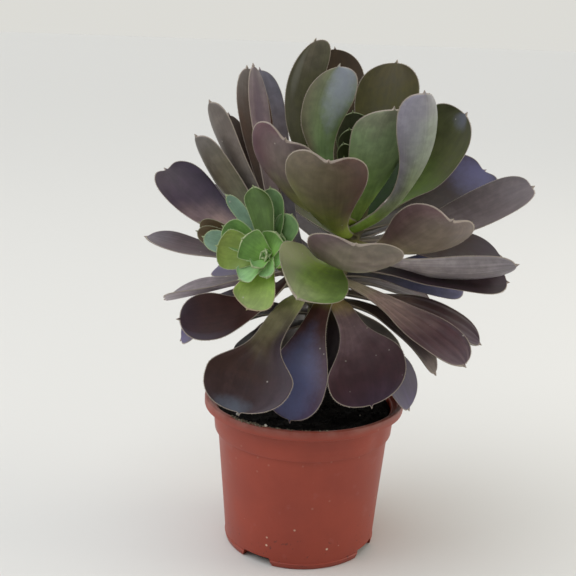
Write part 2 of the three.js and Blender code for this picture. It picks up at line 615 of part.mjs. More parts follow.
// Slides a point of a leaf's root along the petiole until it is SEAT_GAP clear of its shoot.
function seatOn(samples, point, along) {
  const start = point.clone();
  let low = -ROOT_REACH;
  let high = ROOT_REACH;
  for (let step = 0; step < SEAT_STEPS; step++) {
    const middle = (low + high) / 2;
    point.copy(start).addScaledVector(along, middle);
    if (clearance(point, samples) < SEAT_GAP) {
      low = middle;
    } else {
      high = middle;
    }
  }
}

const plant = new THREE.Group();
const leafFinish = (tint) => ({ color: TINTS[tint], roughness: LEAF_ROUGHNESS });
plant.add(namedMesh("pot", potGeometry(), POT_FINISH));
plant.add(namedMesh("soil", soilGeometry(), SOIL_FINISH));
plant.add(namedMesh("stem", stemGeometry(), STEM_FINISH));
plant.add(namedMesh("crown", crownGeometry(), leafFinish("green")));
plant.add(namedMesh("side_rosette", sideRosetteGeometry(), leafFinish("fresh")));

for (const row of LEAVES) {
  const [name, bearer, at, place, bowRoot, bowTip, side, ...rest] = row;
  const [width, roll, cup, widening, notch, skew, tint] = rest;
  const tip = new THREE.Vector3(...place);
  const rib = midrib(leafRoot(shoots[bearer], at, tip), tip, bowRoot, bowTip, side, UP);
  const form = { width, roll, cup, widening, notch, skew, size: 1 };
  const shape = { rows: LEAF_ROWS, columns: LEAF_COLUMNS, ...form };
  shape.seat = (point, along) => seatOn(shoots[bearer].samples, point, along);
  plant.add(namedMesh(name, bladeGeometry(rib, shape), leafFinish(tint)));
}

export default plant;
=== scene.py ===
"""Looks of the potted aeonium: leaves, stem, peat, nursery pot, and the studio round them.

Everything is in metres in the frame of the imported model. The plant's own sizes are given in
millimetres, as in the part's source, and MM turns them into metres.
"""

import logging
import math
from dataclasses import dataclass, field
from enum import Enum
from typing import Callable

import bmesh
import bpy
import numpy as np
from mathutils import Matrix, Vector, noise


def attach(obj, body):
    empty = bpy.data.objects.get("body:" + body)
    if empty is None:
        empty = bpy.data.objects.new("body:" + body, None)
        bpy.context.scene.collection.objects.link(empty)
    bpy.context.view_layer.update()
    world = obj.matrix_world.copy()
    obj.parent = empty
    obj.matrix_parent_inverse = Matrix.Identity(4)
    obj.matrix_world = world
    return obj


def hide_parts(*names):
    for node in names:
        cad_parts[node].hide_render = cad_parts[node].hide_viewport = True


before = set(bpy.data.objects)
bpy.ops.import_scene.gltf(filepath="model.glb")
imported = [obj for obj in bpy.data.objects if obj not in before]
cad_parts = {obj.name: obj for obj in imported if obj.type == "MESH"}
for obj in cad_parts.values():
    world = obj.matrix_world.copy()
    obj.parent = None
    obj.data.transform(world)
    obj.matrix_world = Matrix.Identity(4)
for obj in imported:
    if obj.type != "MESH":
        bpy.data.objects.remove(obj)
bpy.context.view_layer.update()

log = logging.getLogger("aeonium")

MM = 0.001
UP = np.array([0.0, 0.0, 1.0])
# Degrees round the shoot from one leaf or scar of a spiral to the next.
GOLDEN_ANGLE = 137.5
# Edges between a leaf's faces that turn by more than this many degrees stay sharp.
LEAF_SHARP_ANGLE = 60.0
BODY = "root"


class Slot(Enum):
    """The record's material slots."""

    PLASTIC = "terracotta_plastic"
    PEAT = "peat"
    BARK = "stem_bark"
    DARK_LEAF = "dark_leaf"
    GREEN_LEAF = "green_leaf"


class Shoot(Enum):
    """What a leaf grows on."""

    STEM = "stem"
    BRANCH = "branch"


class Face(Enum):
    """A leaf's two faces."""

    UPPER = 1.0
    LOWER = 0.0


def linear(code: str) -> tuple[float, float, float, float]:
    """Turns a colour as seen on a screen into the shader's linear colour.

    Args:
        code: six hexadecimal digits after a hash.

    Returns:
        Red, green, blue and an alpha of 1.
    """
    shares = [int(code[i : i + 2], 16) / 255 for i in (1, 3, 5)]
    red, green, blue = (((c + 0.055) / 1.055) ** 2.4 if c > 0.04045 else c / 12.92 for c in shares)
    return red, green, blue, 1.0


def smoothstep(value: np.ndarray | float) -> np.ndarray:
    """Rises smoothly from 0 to 1 while the value goes from 0 to 1."""
    x = np.clip(value, 0.0, 1.0)
    return x * x * (3 - 2 * x)


def between(ends: tuple[float, float], share: float | np.ndarray) -> float | np.ndarray:
    """The value that lies a share of the way from the first end to the last."""
    return ends[0] + (ends[1] - ends[0]) * share


def turns(count: int) -> list[float]:
    """The angles of a number of places that stand evenly round a full turn."""
    return [math.tau * j / count for j in range(count)]


def place_round(radius: float, turn: float) -> tuple[float, float]:
    """The x and y of a place at a distance and an angle from the upright axis."""
    return radius * math.cos(turn), radius * math.sin(turn)


def distances_along(points: np.ndarray) -> np.ndarray:
    """How far each point of a line is from its first one, along the line."""
    return np.concatenate([[0.0], np.cumsum(np.linalg.norm(np.diff(points, axis=0), axis=1))])


def line_at(at: float | np.ndarray, places: np.ndarray, vectors: np.ndarray) -> np.ndarray:
    """The vectors at some places, when they are known at the given places of a line.

    Args:
        at: where they are wanted.
        places: where they are known, in rising order.
        vectors: one vector a place.

    Returns:
        One vector for each wanted place.
    """
    return np.stack([np.interp(at, places, vectors[:, k]) for k in range(3)], axis=-1)


def ring_faces(rows: int, sides: int, flipped: bool = False) -> list[tuple[int, ...]]:
    """The four-sided faces between rows of points that each run once round.

    Args:
        rows: how many rows there are.
        sides: how many points a row has.
        flipped: turns the faces the other way out.

    Returns:
        The faces, row by row.
    """
    faces: list[tuple[int, ...]] = []
    for i in range(rows - 1):
        for j in range(sides):
            k = (j + 1) % sides
            face = (i * sides + j, i * sides + k, (i + 1) * sides + k, (i + 1) * sides + j)
            faces.append((face[0], *face[:0:-1]) if flipped else face)
    return faces


def unit(vectors: np.ndarray) -> np.ndarray:
    """Vectors of the same directions with length 1."""
    return vectors / np.maximum(np.linalg.norm(vectors, axis=-1, keepdims=True), 1e-12)


def turned_about(vectors: np.ndarray, axes: np.ndarray, angles: np.ndarray) -> np.ndarray:
    """Turns each vector about its own unit axis.

    Args:
        vectors: one vector a row.
        axes: one unit axis a row.
        angles: one angle in radians a row.

    Returns:
        The turned vectors.
    """
    cos, sin = np.cos(angles)[:, None], np.sin(angles)[:, None]
    along = np.sum(vectors * axes, axis=1, keepdims=True)
    return vectors * cos + np.cross(axes, vectors) * sin + axes * along * (1 - cos)


@dataclass
class Surface:
    """Points, faces and values at the points of a mesh under construction, in millimetres."""

    points: np.ndarray
    faces: list[tuple[int, ...]]
    values: dict[str, np.ndarray] = field(default_factory=dict)
    finishes: np.ndarray | None = None

    @staticmethod
    def joined(parts: list["Surface"]) -> "Surface":
        """Puts several surfaces into one; each keeps its own finish number.

        Args:
            parts: the surfaces, in order.

        Returns:
            All of them in one.
        """
        faces: list[tuple[int, ...]] = []
        start = 0
        for part in parts:
            faces.extend(tuple(i + start for i in face) for face in part.faces)
            start += len(part.points)
        values = {}
        for name in sorted({name for part in parts for name in part.values}):
            values[name] = np.concatenate([p.values.get(name, np.zeros(len(p.points))) for p in parts])
        finishes = [np.zeros(len(p.faces), int) if p.finishes is None else p.finishes for p in parts]
        return Surface(np.vstack([p.points for p in parts]), faces, values, np.concatenate(finishes))

    def finished(self, number: int) -> "Surface":
        """The same surface with all its faces in one finish."""
        return Surface(self.points, self.faces, self.values, np.full(len(self.faces), number))


def add_object(name: str, data: bpy.types.ID) -> bpy.types.Object:
    """Puts a mesh, a lamp or a camera into the scene as an object at the origin."""
    thing = bpy.data.objects.new(name, data)
    bpy.context.scene.collection.objects.link(thing)
    return thing


def solid_of(body: bmesh.types.BMesh, name: str) -> bpy.types.Object:
    """Turns a finished body into an object of the scene and frees it."""
    mesh = bpy.data.meshes.new(name)
    body.to_mesh(mesh)
    body.free()
    return add_object(name, mesh)


def apply_modifier(solid: bpy.types.Object, kind: str, **settings: object) -> None:
    """Gives a solid the shape that a modifier makes of it.

    Args:
        solid: the solid.
        kind: the modifier's type.
        settings: the modifier's settings.
    """
    modifier = solid.modifiers.new(kind, kind)
    for name, value in settings.items():
        setattr(modifier, name, value)
    depsgraph = bpy.context.evaluated_depsgraph_get()
    mesh = bpy.data.meshes.new_from_object(solid.evaluated_get(depsgraph))
    solid.modifiers.clear()
    old = solid.data
    solid.data = mesh
    bpy.data.meshes.remove(old)


def make_piece(
    name: str,
    surface: Surface,
    materials: list[bpy.types.Material],
    replaced: tuple[str, ...] = (),
    sharp_angle: float | None = None,
) -> bpy.types.Object:
    """Makes one piece of the object from a surface and ties it to the frame.

    Args:
        name: the piece's name.
        surface: its mesh in millimetres.
        materials: its finishes, in the order of the surface's finish numbers.
        replaced: the solids that it stands for.
        sharp_angle: edges sharper than this many degrees stay sharp; all are smooth without it.

    Returns:
        The piece.
    """
    mesh = bpy.data.meshes.new(name)
    mesh.from_pydata((surface.points * MM).tolist(), [], surface.faces)
    for key, values in surface.values.items():
        attribute = mesh.attributes.new(key, "FLOAT", "POINT")
        attribute.data.foreach_set("value", values.astype(np.float32))
    for material in materials:
        mesh.materials.append(material)
    if surface.finishes is not None:
        mesh.polygons.foreach_set("material_index", surface.finishes.astype(np.int32))
    mesh.shade_smooth()
    if sharp_angle is not None:
        mesh.set_sharp_from_angle(angle=math.radians(sharp_angle))
    mesh.validate()
    piece = add_object(name, mesh)
    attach(piece, BODY)
    if replaced:
        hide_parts(*replaced)
    log.info("%s: %d faces, stands for %s", name, len(mesh.polygons), ", ".join(replaced) or "nothing")
    return piece


Value = bpy.types.NodeSocket | float | tuple[float, ...]


class Graph:
    """A node tree with short calls for the nodes that this object's finishes use."""

    MIX_FIRST = 6
    MIX_SECOND = 7
    MIX_RESULT = 2

    def __init__(self, tree: bpy.types.NodeTree) -> None:
        """Starts on a tree whose old nodes are removed."""
        self.tree = tree
        tree.nodes.clear()

    def add(self, kind: str, **settings: object) -> bpy.types.Node:
        """Adds a node of a kind with its settings."""
        node = self.tree.nodes.new(kind)
        for name, value in settings.items():
            setattr(node, name, value)
        return node

    def feed(self, socket: bpy.types.NodeSocket, value: Value) -> None:
        """Links an output to a socket, or sets the socket's own value."""
        if isinstance(value, bpy.types.NodeSocket):
            self.tree.links.new(value, socket)
        else:
            socket.default_value = value

    def maths(self, operation: str, first: Value, second: Value = 0.0, clamp: bool = False) -> Value:
        """One arithmetic step on two values."""
        node = self.add("ShaderNodeMath", operation=operation, use_clamp=clamp)
        self.feed(node.inputs[0], first)
        self.feed(node.inputs[1], second)
        return node.outputs[0]

    def ramp(self, value: Value, low: Value, high: Value, first: Value = 0.0, last: Value = 1.0) -> Value:
        """Turns a value's rise from low to high into a smooth one from first to last."""
        node = self.add("ShaderNodeMapRange", interpolation_type="SMOOTHSTEP")
        for socket, number in zip(node.inputs[:5], (value, low, high, first, last), strict=True):
            self.feed(socket, number)
        return node.outputs[0]

    def fall(self, value: Value, low: float, high: float) -> Value:
        """Turns a value's rise from low to high into a smooth fall from 1 to 0."""
        return self.ramp(value, low, high, 1.0, 0.0)

    def product(self, first: Value, *others: Value) -> Value:
        """Multiplies values."""
        for other in others:
            first = self.maths("MULTIPLY", first, other)
        return first

    def blend(self, share: Value, first: Value, second: Value, way: str = "MIX") -> Value:
        """Mixes two colours."""
        node = self.add("ShaderNodeMix", data_type="RGBA", blend_type=way, clamp_factor=True)
        self.feed(node.inputs[0], share)
        self.feed(node.inputs[self.MIX_FIRST], first)
        self.feed(node.inputs[self.MIX_SECOND], second)
        return node.outputs[self.MIX_RESULT]

    def tint(self, color: Value, mask: Value, code: str) -> Value:
        """Lays a colour as seen on a screen over another where a mask is high."""
        return self.blend(mask, color, linear(code))

    def shade(self, color: Value, value: Value, low: float, high: float, depth: float) -> Value:
        """Darkens, then lightens a colour by a depth while a value rises from low to high."""
        return self.blend(1.0, color, self.ramp(value, low, high, 1 - depth, 1 + depth), "MULTIPLY")

    def noise(self, place: Value, scale: float, detail: float = 2.0, roughness: float = 0.5) -> Value:
        """Soft noise from 0 to 1 at a place."""
        node = self.add("ShaderNodeTexNoise")
        self.feed(node.inputs["Vector"], place)
        node.inputs["Scale"].default_value = scale
        node.inputs["Detail"].default_value = detail
        node.inputs["Roughness"].default_value = roughness
        return node.outputs["Fac"]

    def cells(self, place: Value) -> tuple[Value, Value]:
        """Distance to the nearest of many scattered points, and that point's own random number."""
        node = self.add("ShaderNodeTexVoronoi")
        self.feed(node.inputs["Vector"], place)
        node.inputs["Scale"].default_value = 1.0
        split = self.add("ShaderNodeSeparateColor")
        self.feed(split.inputs[0], node.outputs["Color"])
        return node.outputs["Distance"], split.outputs[0]

    def value_at(self, name: str) -> Value:
        """A value that the mesh holds at its points."""
        return self.add("ShaderNodeAttribute", attribute_name=name).outputs["Fac"]

    def place(self) -> Value:
        """The place on the object, in metres."""
        return self.add("ShaderNodeTexCoord").outputs["Object"]

    def scaled_place(self, scale: Value) -> Value:
        """The place on the object, times a scale."""
        node = self.add("ShaderNodeVectorMath", operation="SCALE")
        self.feed(node.inputs[0], self.place())
        self.feed(node.inputs["Scale"], scale)
        return node.outputs[0]

    def height(self) -> Value:
        """How high the place on the object is, in metres."""
        split = self.add("ShaderNodeSeparateXYZ")
        self.feed(split.inputs[0], self.place())
        return split.outputs["Z"]

    def vector(self, x: Value, y: Value, z: Value) -> Value:
        """A vector of three values."""
        node = self.add("ShaderNodeCombineXYZ")
        for socket, value in zip(node.inputs, (x, y, z), strict=True):
            self.feed(socket, value)
        return node.outputs[0]

    def effect(self, group: bpy.types.NodeTree, **inputs: Value) -> dict[str, Value]:
        """Places a shared effect with its own values.

        Args:
            group: the effect's node group.
            inputs: the values of its inputs; an underscore in a name stands for a space.

        Returns:
            The group's outputs by name.
        """
        node = self.add("ShaderNodeGroup", node_tree=group)
        for name, value in inputs.items():
            self.feed(node.inputs[name.replace("_", " ")], value)
        return {socket.name: socket for socket in node.outputs}


SOCKETS = {"number": "NodeSocketFloat", "colour": "NodeSocketColor"}


def sockets(kind: str, *names: str) -> dict[str, str]:
    """Names of a group's inputs or outputs, all of one kind."""
    return dict.fromkeys(names, kind)


def make_effect(
    name: str,
    inputs: dict[str, str],
    outputs: dict[str, str],
    build: Callable[[Graph, dict[str, Value]], dict[str, Value]],
) -> bpy.types.NodeTree:
    """Makes a shared effect as a shader node group.

    Args:
        name: the effect's name.
        inputs: what goes in: each name with "number" or "colour".
        outputs: what comes out, in the same way.
        build: makes the nodes from the inputs and gives back the outputs by name.

    Returns:
        The node group.
    """
    tree = bpy.data.node_groups.new(name, "ShaderNodeTree")
    for way, labels in (("INPUT", inputs), ("OUTPUT", outputs)):
        for label, kind in labels.items():
            tree.interface.new_socket(name=label, in_out=way, socket_type=SOCKETS[kind])
    graph = Graph(tree)
    entry = graph.add("NodeGroupInput")
    made = build(graph, {label: entry.outputs[label] for label in inputs})
    leave = graph.add("NodeGroupOutput")
    for label, value in made.items():
        graph.feed(leave.inputs[label], value)
    return tree


def new_material(name: str) -> tuple[bpy.types.Material, Graph, bpy.types.Node]:
    """A material with a Principled shader that is already joined to its output.

    Args:
        name: the material's name.

    Returns:
        The material, its nodes and its shader.
    """
    material = bpy.data.materials.new(name)
    material.use_nodes = True
    graph = Graph(material.node_tree)
    shader = graph.add("ShaderNodeBsdfPrincipled")
    output = graph.add("ShaderNodeOutputMaterial")
    graph.feed(output.inputs["Surface"], shader.outputs[0])
    return material, graph, shader


def add_bump(graph: Graph, shader: bpy.types.Node, height: Value, distance: float, strength: float) -> None:
    """Feeds a height into the shader's normal.

    Args:
        graph: the material's nodes.
        shader: its shader.
        height: the height, from 0 to 1.
        distance: how high 1 is, in metres.
        strength: the share of it that shows.
    """
    bump = graph.add("ShaderNodeBump")
    bump.inputs["Strength"].default_value = strength
    bump.inputs["Distance"].default_value = distance
    graph.feed(bump.inputs["Height"], height)
    graph.feed(shader.inputs["Normal"], bump.outputs[0])


class Effects:
    """The shared effects, each built once."""

    DRIFT_SCALE = 45.0
    DRIFT_DEPTH = 0.35
    PETIOLE_SPAN = (0.03, 0.3)
    BLADE_REACH = 0.22
    TIP_SPAN = (0.7, 1.05)
    FLANK_ACROSS = (0.05, 0.95)
    FLANK_ALONG = (0.15, 0.5)
    VEINS_ACROSS = 9.0
    VEINS_ALONG = 1.4
    BLOOM_AND_PAINTED_LIGHT_GRAIN = 260.0
    BLOOM_AND_PAINTED_LIGHT_GRAIN_DEPTH = 0.7
    BLOOM_AND_PAINTED_LIGHT_SPAN = (0.2, 1.4)
    MARGIN_GRAIN = 900.0
    MARGIN_GRAIN_DEPTH = 0.3
    MARGIN_SPAN = (0.3, 0.65)
    SPECK_SPAN = (0.1, 0.3)

    def __init__(self) -> None:
        """Builds every effect."""
        leaf = ("Along", "Across")
        mask = sockets("number", "Mask")
        tones = sockets("number", *leaf, "Side", "Stop")
        tones |= sockets("colour", "Throat", "Petiole", "Blade", "Tip", "Flank")
        veins = sockets("number", *leaf, "Seed")
        bloom_and_painted_light = sockets("number", *leaf, "At Along", "At Across", "Reach Along", "Reach Across", "Amount")
        mottle = sockets("number", "Scale", "Low", "High")
        self.tones = make_effect("Blade tones", tones, sockets("colour", "Color"), self._tones)
        self.veins = make_effect("Leaf veins", veins, sockets("number", "Streak"), self._veins)
        self.bloom_and_painted_light = make_effect("Wax bloom and painted light", bloom_and_painted_light, mask, self._bloom_and_painted_light)
        self.margin = make_effect("Pale margin", sockets("number", "Rim"), mask, self._margin)
        self.specks = make_effect("Specks", sockets("number", "Scale", "Share"), mask, self._specks)
        self.mottle = make_effect("Mottle", mottle, mask, self._mottle)

    def clouds(self, graph: Graph, scale: float, low: float, high: float) -> Value:
        """Places the mottle in a material and gives back its mask."""
        return graph.effect(self.mottle, Scale=scale, Low=low, High=high)["Mask"]

    def dots(self, graph: Graph, scale: float, share: float) -> Value:
        """Places the specks in a material and gives back their mask."""
        return graph.effect(self.specks, Scale=scale, Share=share)["Mask"]

    def _tones(self, graph: Graph, given: dict[str, Value]) -> dict[str, Value]:
        """Colours from the leaf's root to its tip, and one flank's colour: its own tint on some leaves,
        painted shade and painted sheen on others.

        Args:
            graph: the group's nodes.
            given: the group's inputs.

        Returns:
            The group's outputs.
        """
        drift = graph.noise(graph.place(), self.DRIFT_SCALE, 3.0)
        drift = graph.product(graph.maths("SUBTRACT", drift, 0.5), self.DRIFT_DEPTH)
        along = graph.maths("ADD", given["Along"], drift)
        color = graph.blend(graph.ramp(along, *self.PETIOLE_SPAN), given["Throat"], given["Petiole"])
        low = graph.maths("SUBTRACT", given["Stop"], self.BLADE_REACH)
        high = graph.maths("ADD", given["Stop"], self.BLADE_REACH)
        color = graph.blend(graph.ramp(along, low, high), color, given["Blade"])
        color = graph.blend(graph.ramp(along, *self.TIP_SPAN), color, given["Tip"])
        # On some leaves the flank colour is painted shade, on others painted sheen, on the rest the side's
        # own tint.
        side = graph.maths("ADD", graph.product(given["Across"], given["Side"]), drift)
        flank_tint_and_painted_light = graph.product(graph.ramp(side, *self.FLANK_ACROSS), graph.ramp(along, *self.FLANK_ALONG))
        return {"Color": graph.blend(flank_tint_and_painted_light, color, given["Flank"])}

    def _veins(self, graph: Graph, given: dict[str, Value]) -> dict[str, Value]:
        """Fine streaks that run along the leaf."""
        x = graph.product(given["Across"], self.VEINS_ACROSS)
        y = graph.product(given["Along"], self.VEINS_ALONG)
        return {"Streak": graph.noise(graph.vector(x, y, given["Seed"]), 1.0, 4.0, 0.6)}

    def _bloom_and_painted_light(self, graph: Graph, given: dict[str, Value]) -> dict[str, Value]:
        """A soft patch at one place on the leaf, broken up where it is thin: mostly painted sheen and glints
        of sky light, on a few leaves painted shade, and partly the grey of the leaf's own wax bloom.

        Args:
            graph: the group's nodes.
            given: the group's inputs.

        Returns:
            The group's outputs.
        """
        squares = []
        for way in ("Along", "Across"):
            away = graph.maths("SUBTRACT", given[way], given["At " + way])
            away = graph.maths("DIVIDE", away, given["Reach " + way])
            squares.append(graph.product(away, away))
        broken = graph.noise(graph.place(), self.BLOOM_AND_PAINTED_LIGHT_GRAIN, 5.0, 0.65)
        distance = graph.maths("ADD", *squares)
        distance = graph.maths("ADD", distance, graph.product(broken, self.BLOOM_AND_PAINTED_LIGHT_GRAIN_DEPTH))
        mask = graph.fall(distance, *self.BLOOM_AND_PAINTED_LIGHT_SPAN)
        return {"Mask": graph.maths("MULTIPLY", mask, given["Amount"], clamp=True)}

    def _margin(self, graph: Graph, given: dict[str, Value]) -> dict[str, Value]:
        """The pale margin: its distance from the rim is in millimetres."""
        uneven = graph.noise(graph.place(), self.MARGIN_GRAIN, 2.0)
        rim = graph.maths("ADD", given["Rim"], graph.product(uneven, self.MARGIN_GRAIN_DEPTH))
        return {"Mask": graph.fall(rim, *self.MARGIN_SPAN)}

    def _specks(self, graph: Graph, given: dict[str, Value]) -> dict[str, Value]:
        """Small scattered specks."""
        distance, chance = graph.cells(graph.scaled_place(given["Scale"]))
        chosen = graph.maths("LESS_THAN", chance, given["Share"])
        return {"Mask": graph.product(graph.fall(distance, *self.SPECK_SPAN), chosen)}

    def _mottle(self, graph: Graph, given: dict[str, Value]) -> dict[str, Value]:
        """Soft clouds, as of dust and stain."""
        cloud = graph.noise(graph.scaled_place(given["Scale"]), 1.0, 5.0, 0.6)
        return {"Mask": graph.ramp(cloud, given["Low"], given["High"])}


@dataclass(frozen=True)
class Tones:
    """A leaf's colours as its lit face shows them, from its root to its tip.

    The flank colour is that of one side: on some leaves the side's own tint, on others painted shade on the
    half turned from the light (leaf_top_5, leaf_front_4) and painted sheen on the half turned to it
    (leaf_top_6). Side says which: 1 for the side that the leaf's across direction points to, -1 for the
    other. The blade's colour takes over round the stop. The patch at a place along and across is mostly
    painted sheen and glints of sky light, on a few leaves painted shade, and partly the grey of the wax
    bloom. Seen is the face that the colours are meant for.
    """

    throat: str
    petiole: str
    blade: str
    tip: str
    flank_tint_and_painted_light: str = ""
    side: float = 0.0
    stop: float = 0.5
    bloom_and_painted_light: str = "#7d8296"
    bloom_and_painted_light_at: tuple[float, float] = (0.8, 0.0)
    bloom_and_painted_light_reach: tuple[float, float] = (0.4, 1.0)
    bloom_and_painted_light_amount: float = 0.0
    streaks: float = 0.08
    specks: float = 0.004
    roughness: float = 0.45
    seen: Face = Face.UPPER
    margin: str = "#a5988c"


class LeafSkin:
    """Makes the material of a leaf from its tones."""

    HIDDEN_TINTS = {Face.UPPER: "#6e6a58", Face.LOWER: "#463a36"}
    HIDDEN_SHARE = 0.4
    STREAK_SPAN = (0.3, 0.7)
    CLOUDS = (160.0, 0.3, 0.75)
    CLOUD_DEPTH = 0.14
    SPECK_SCALE = 420.0
    SPECK_SHARE = 0.7
    SPECK_TINT = "#b9b2a8"
    MARGIN_SHARE = 0.85
    ROUGHNESS_SPREAD = (-0.04, 0.1)
    SPECULAR_LEVEL = 0.3
    FLESH_WEIGHT = 0.08
    FLESH_RADIUS = (0.6, 1.0, 0.3)
    FLESH_SCALE = 0.0015
    VEIN_HEIGHT = 0.00025
    BUMP_STRENGTH = 0.25

    def __init__(self, effects: Effects) -> None:
        """Keeps the shared effects and starts counting the leaves."""
        self.effects = effects
        self.made = 0

    def material(self, name: str, tones: Tones) -> bpy.types.Material:
        """Makes a leaf's material.

        Args:
            name: the material's name.
            tones: the leaf's colours.

        Returns:
            The material.
        """
        self.made += 1
        effects = self.effects
        material, graph, shader = new_material(name)
        leaf = {"Along": graph.value_at("along"), "Across": graph.value_at("across")}
        color = graph.effect(
            effects.tones, **leaf, Throat=linear(tones.throat), Petiole=linear(tones.petiole),
            Blade=linear(tones.blade), Tip=linear(tones.tip), Flank=linear(tones.flank_tint_and_painted_light or tones.blade),
            Side=tones.side, Stop=tones.stop,
        )["Color"]
        hidden = graph.maths("ABSOLUTE", graph.maths("SUBTRACT", graph.value_at("face"), tones.seen.value))
        hidden = graph.product(hidden, self.HIDDEN_SHARE)
        color = graph.tint(color, hidden, self.HIDDEN_TINTS[tones.seen])
        streak = graph.effect(effects.veins, **leaf, Seed=float(self.made))["Streak"]
        color = graph.shade(color, streak, *self.STREAK_SPAN, tones.streaks)
        cloud = effects.clouds(graph, *self.CLOUDS)
        color = graph.shade(color, cloud, 0.0, 1.0, self.CLOUD_DEPTH)
        # This patch is painted light: sheen and glints of sky light on most leaves, shade on a few, partly
        # the wax bloom's own grey.
        bloom_and_painted_light = graph.effect(
            effects.bloom_and_painted_light, **leaf, At_Along=tones.bloom_and_painted_light_at[0], At_Across=tones.bloom_and_painted_light_at[1],
            Reach_Along=tones.bloom_and_painted_light_reach[0], Reach_Across=tones.bloom_and_painted_light_reach[1], Amount=tones.bloom_and_painted_light_amount,
        )["Mask"]
        color = graph.tint(color, bloom_and_painted_light, tones.bloom_and_painted_light)
        specks = effects.dots(graph, self.SPECK_SCALE, tones.specks)
        color = graph.tint(color, graph.product(specks, self.SPECK_SHARE), self.SPECK_TINT)
        margin = graph.effect(effects.margin, Rim=graph.value_at("rim"))["Mask"]
        color = graph.tint(color, graph.product(margin, self.MARGIN_SHARE), tones.margin)
        graph.feed(shader.inputs["Base Color"], color)
        low, high = (tones.roughness + step for step in self.ROUGHNESS_SPREAD)
        graph.feed(shader.inputs["Roughness"], graph.ramp(cloud, 0.0, 1.0, low, high))
        shader.inputs["Specular IOR Level"].default_value = self.SPECULAR_LEVEL
        shader.inputs["Subsurface Weight"].default_value = self.FLESH_WEIGHT
        shader.inputs["Subsurface Radius"].default_value = self.FLESH_RADIUS
        shader.inputs["Subsurface Scale"].default_value = self.FLESH_SCALE
        add_bump(graph, shader, streak, self.VEIN_HEIGHT, self.BUMP_STRENGTH)
        return material


@dataclass(frozen=True)
class Axis:
    """A shoot's axis: points and radii from end to end, each at its place along the shoot."""

    places: np.ndarray
    points: np.ndarray
    radii: np.ndarray

    def point_at(self, at: float) -> np.ndarray:
        """The axis's point at a place along it."""
        return line_at(at, self.places, self.points)

    def radius_at(self, at: float) -> float:
        """The shoot's radius at a place along it."""
        return float(np.interp(at, self.places, self.radii))

    def clearance(self, points: np.ndarray) -> np.ndarray:
        """How far each point is from the shoot's surface."""
        away = np.linalg.norm(points[:, None, :] - self.points[None, :, :], axis=2)
        return np.min(away - self.radii[None, :], axis=1)

    def leaf_root(self, at: float, tip: np.ndarray) -> np.ndarray:
        """Where a leaf starts: on the shoot's surface, on the side that its tip lies on.

        Args:
            at: the place along the shoot.
            tip: the leaf's tip.

        Returns:
            The root's middle.
        """
        here = self.point_at(at)
        along = unit(here - self.point_at(at - 1))
        outward = tip - here
        outward = unit(outward - along * np.dot(outward, along))
        return here + outward * self.radius_at(at)


def bezier(points: np.ndarray, shares: np.ndarray) -> np.ndarray:
    """Points of a cubic curve at the given shares of its parameter."""
    s, r = shares[:, None], 1 - shares[:, None]
    return points[0] * r**3 + points[1] * 3 * r**2 * s + points[2] * 3 * r * s**2 + points[3] * s**3


def bezier_direction(points: np.ndarray, shares: np.ndarray) -> np.ndarray:
    """Directions of a cubic curve at the given shares of its parameter."""
    s, r = shares[:, None], 1 - shares[:, None]
    steps = np.diff(points, axis=0)
    return unit(steps[0] * r**2 + steps[1] * 2 * r * s + steps[2] * s**2)


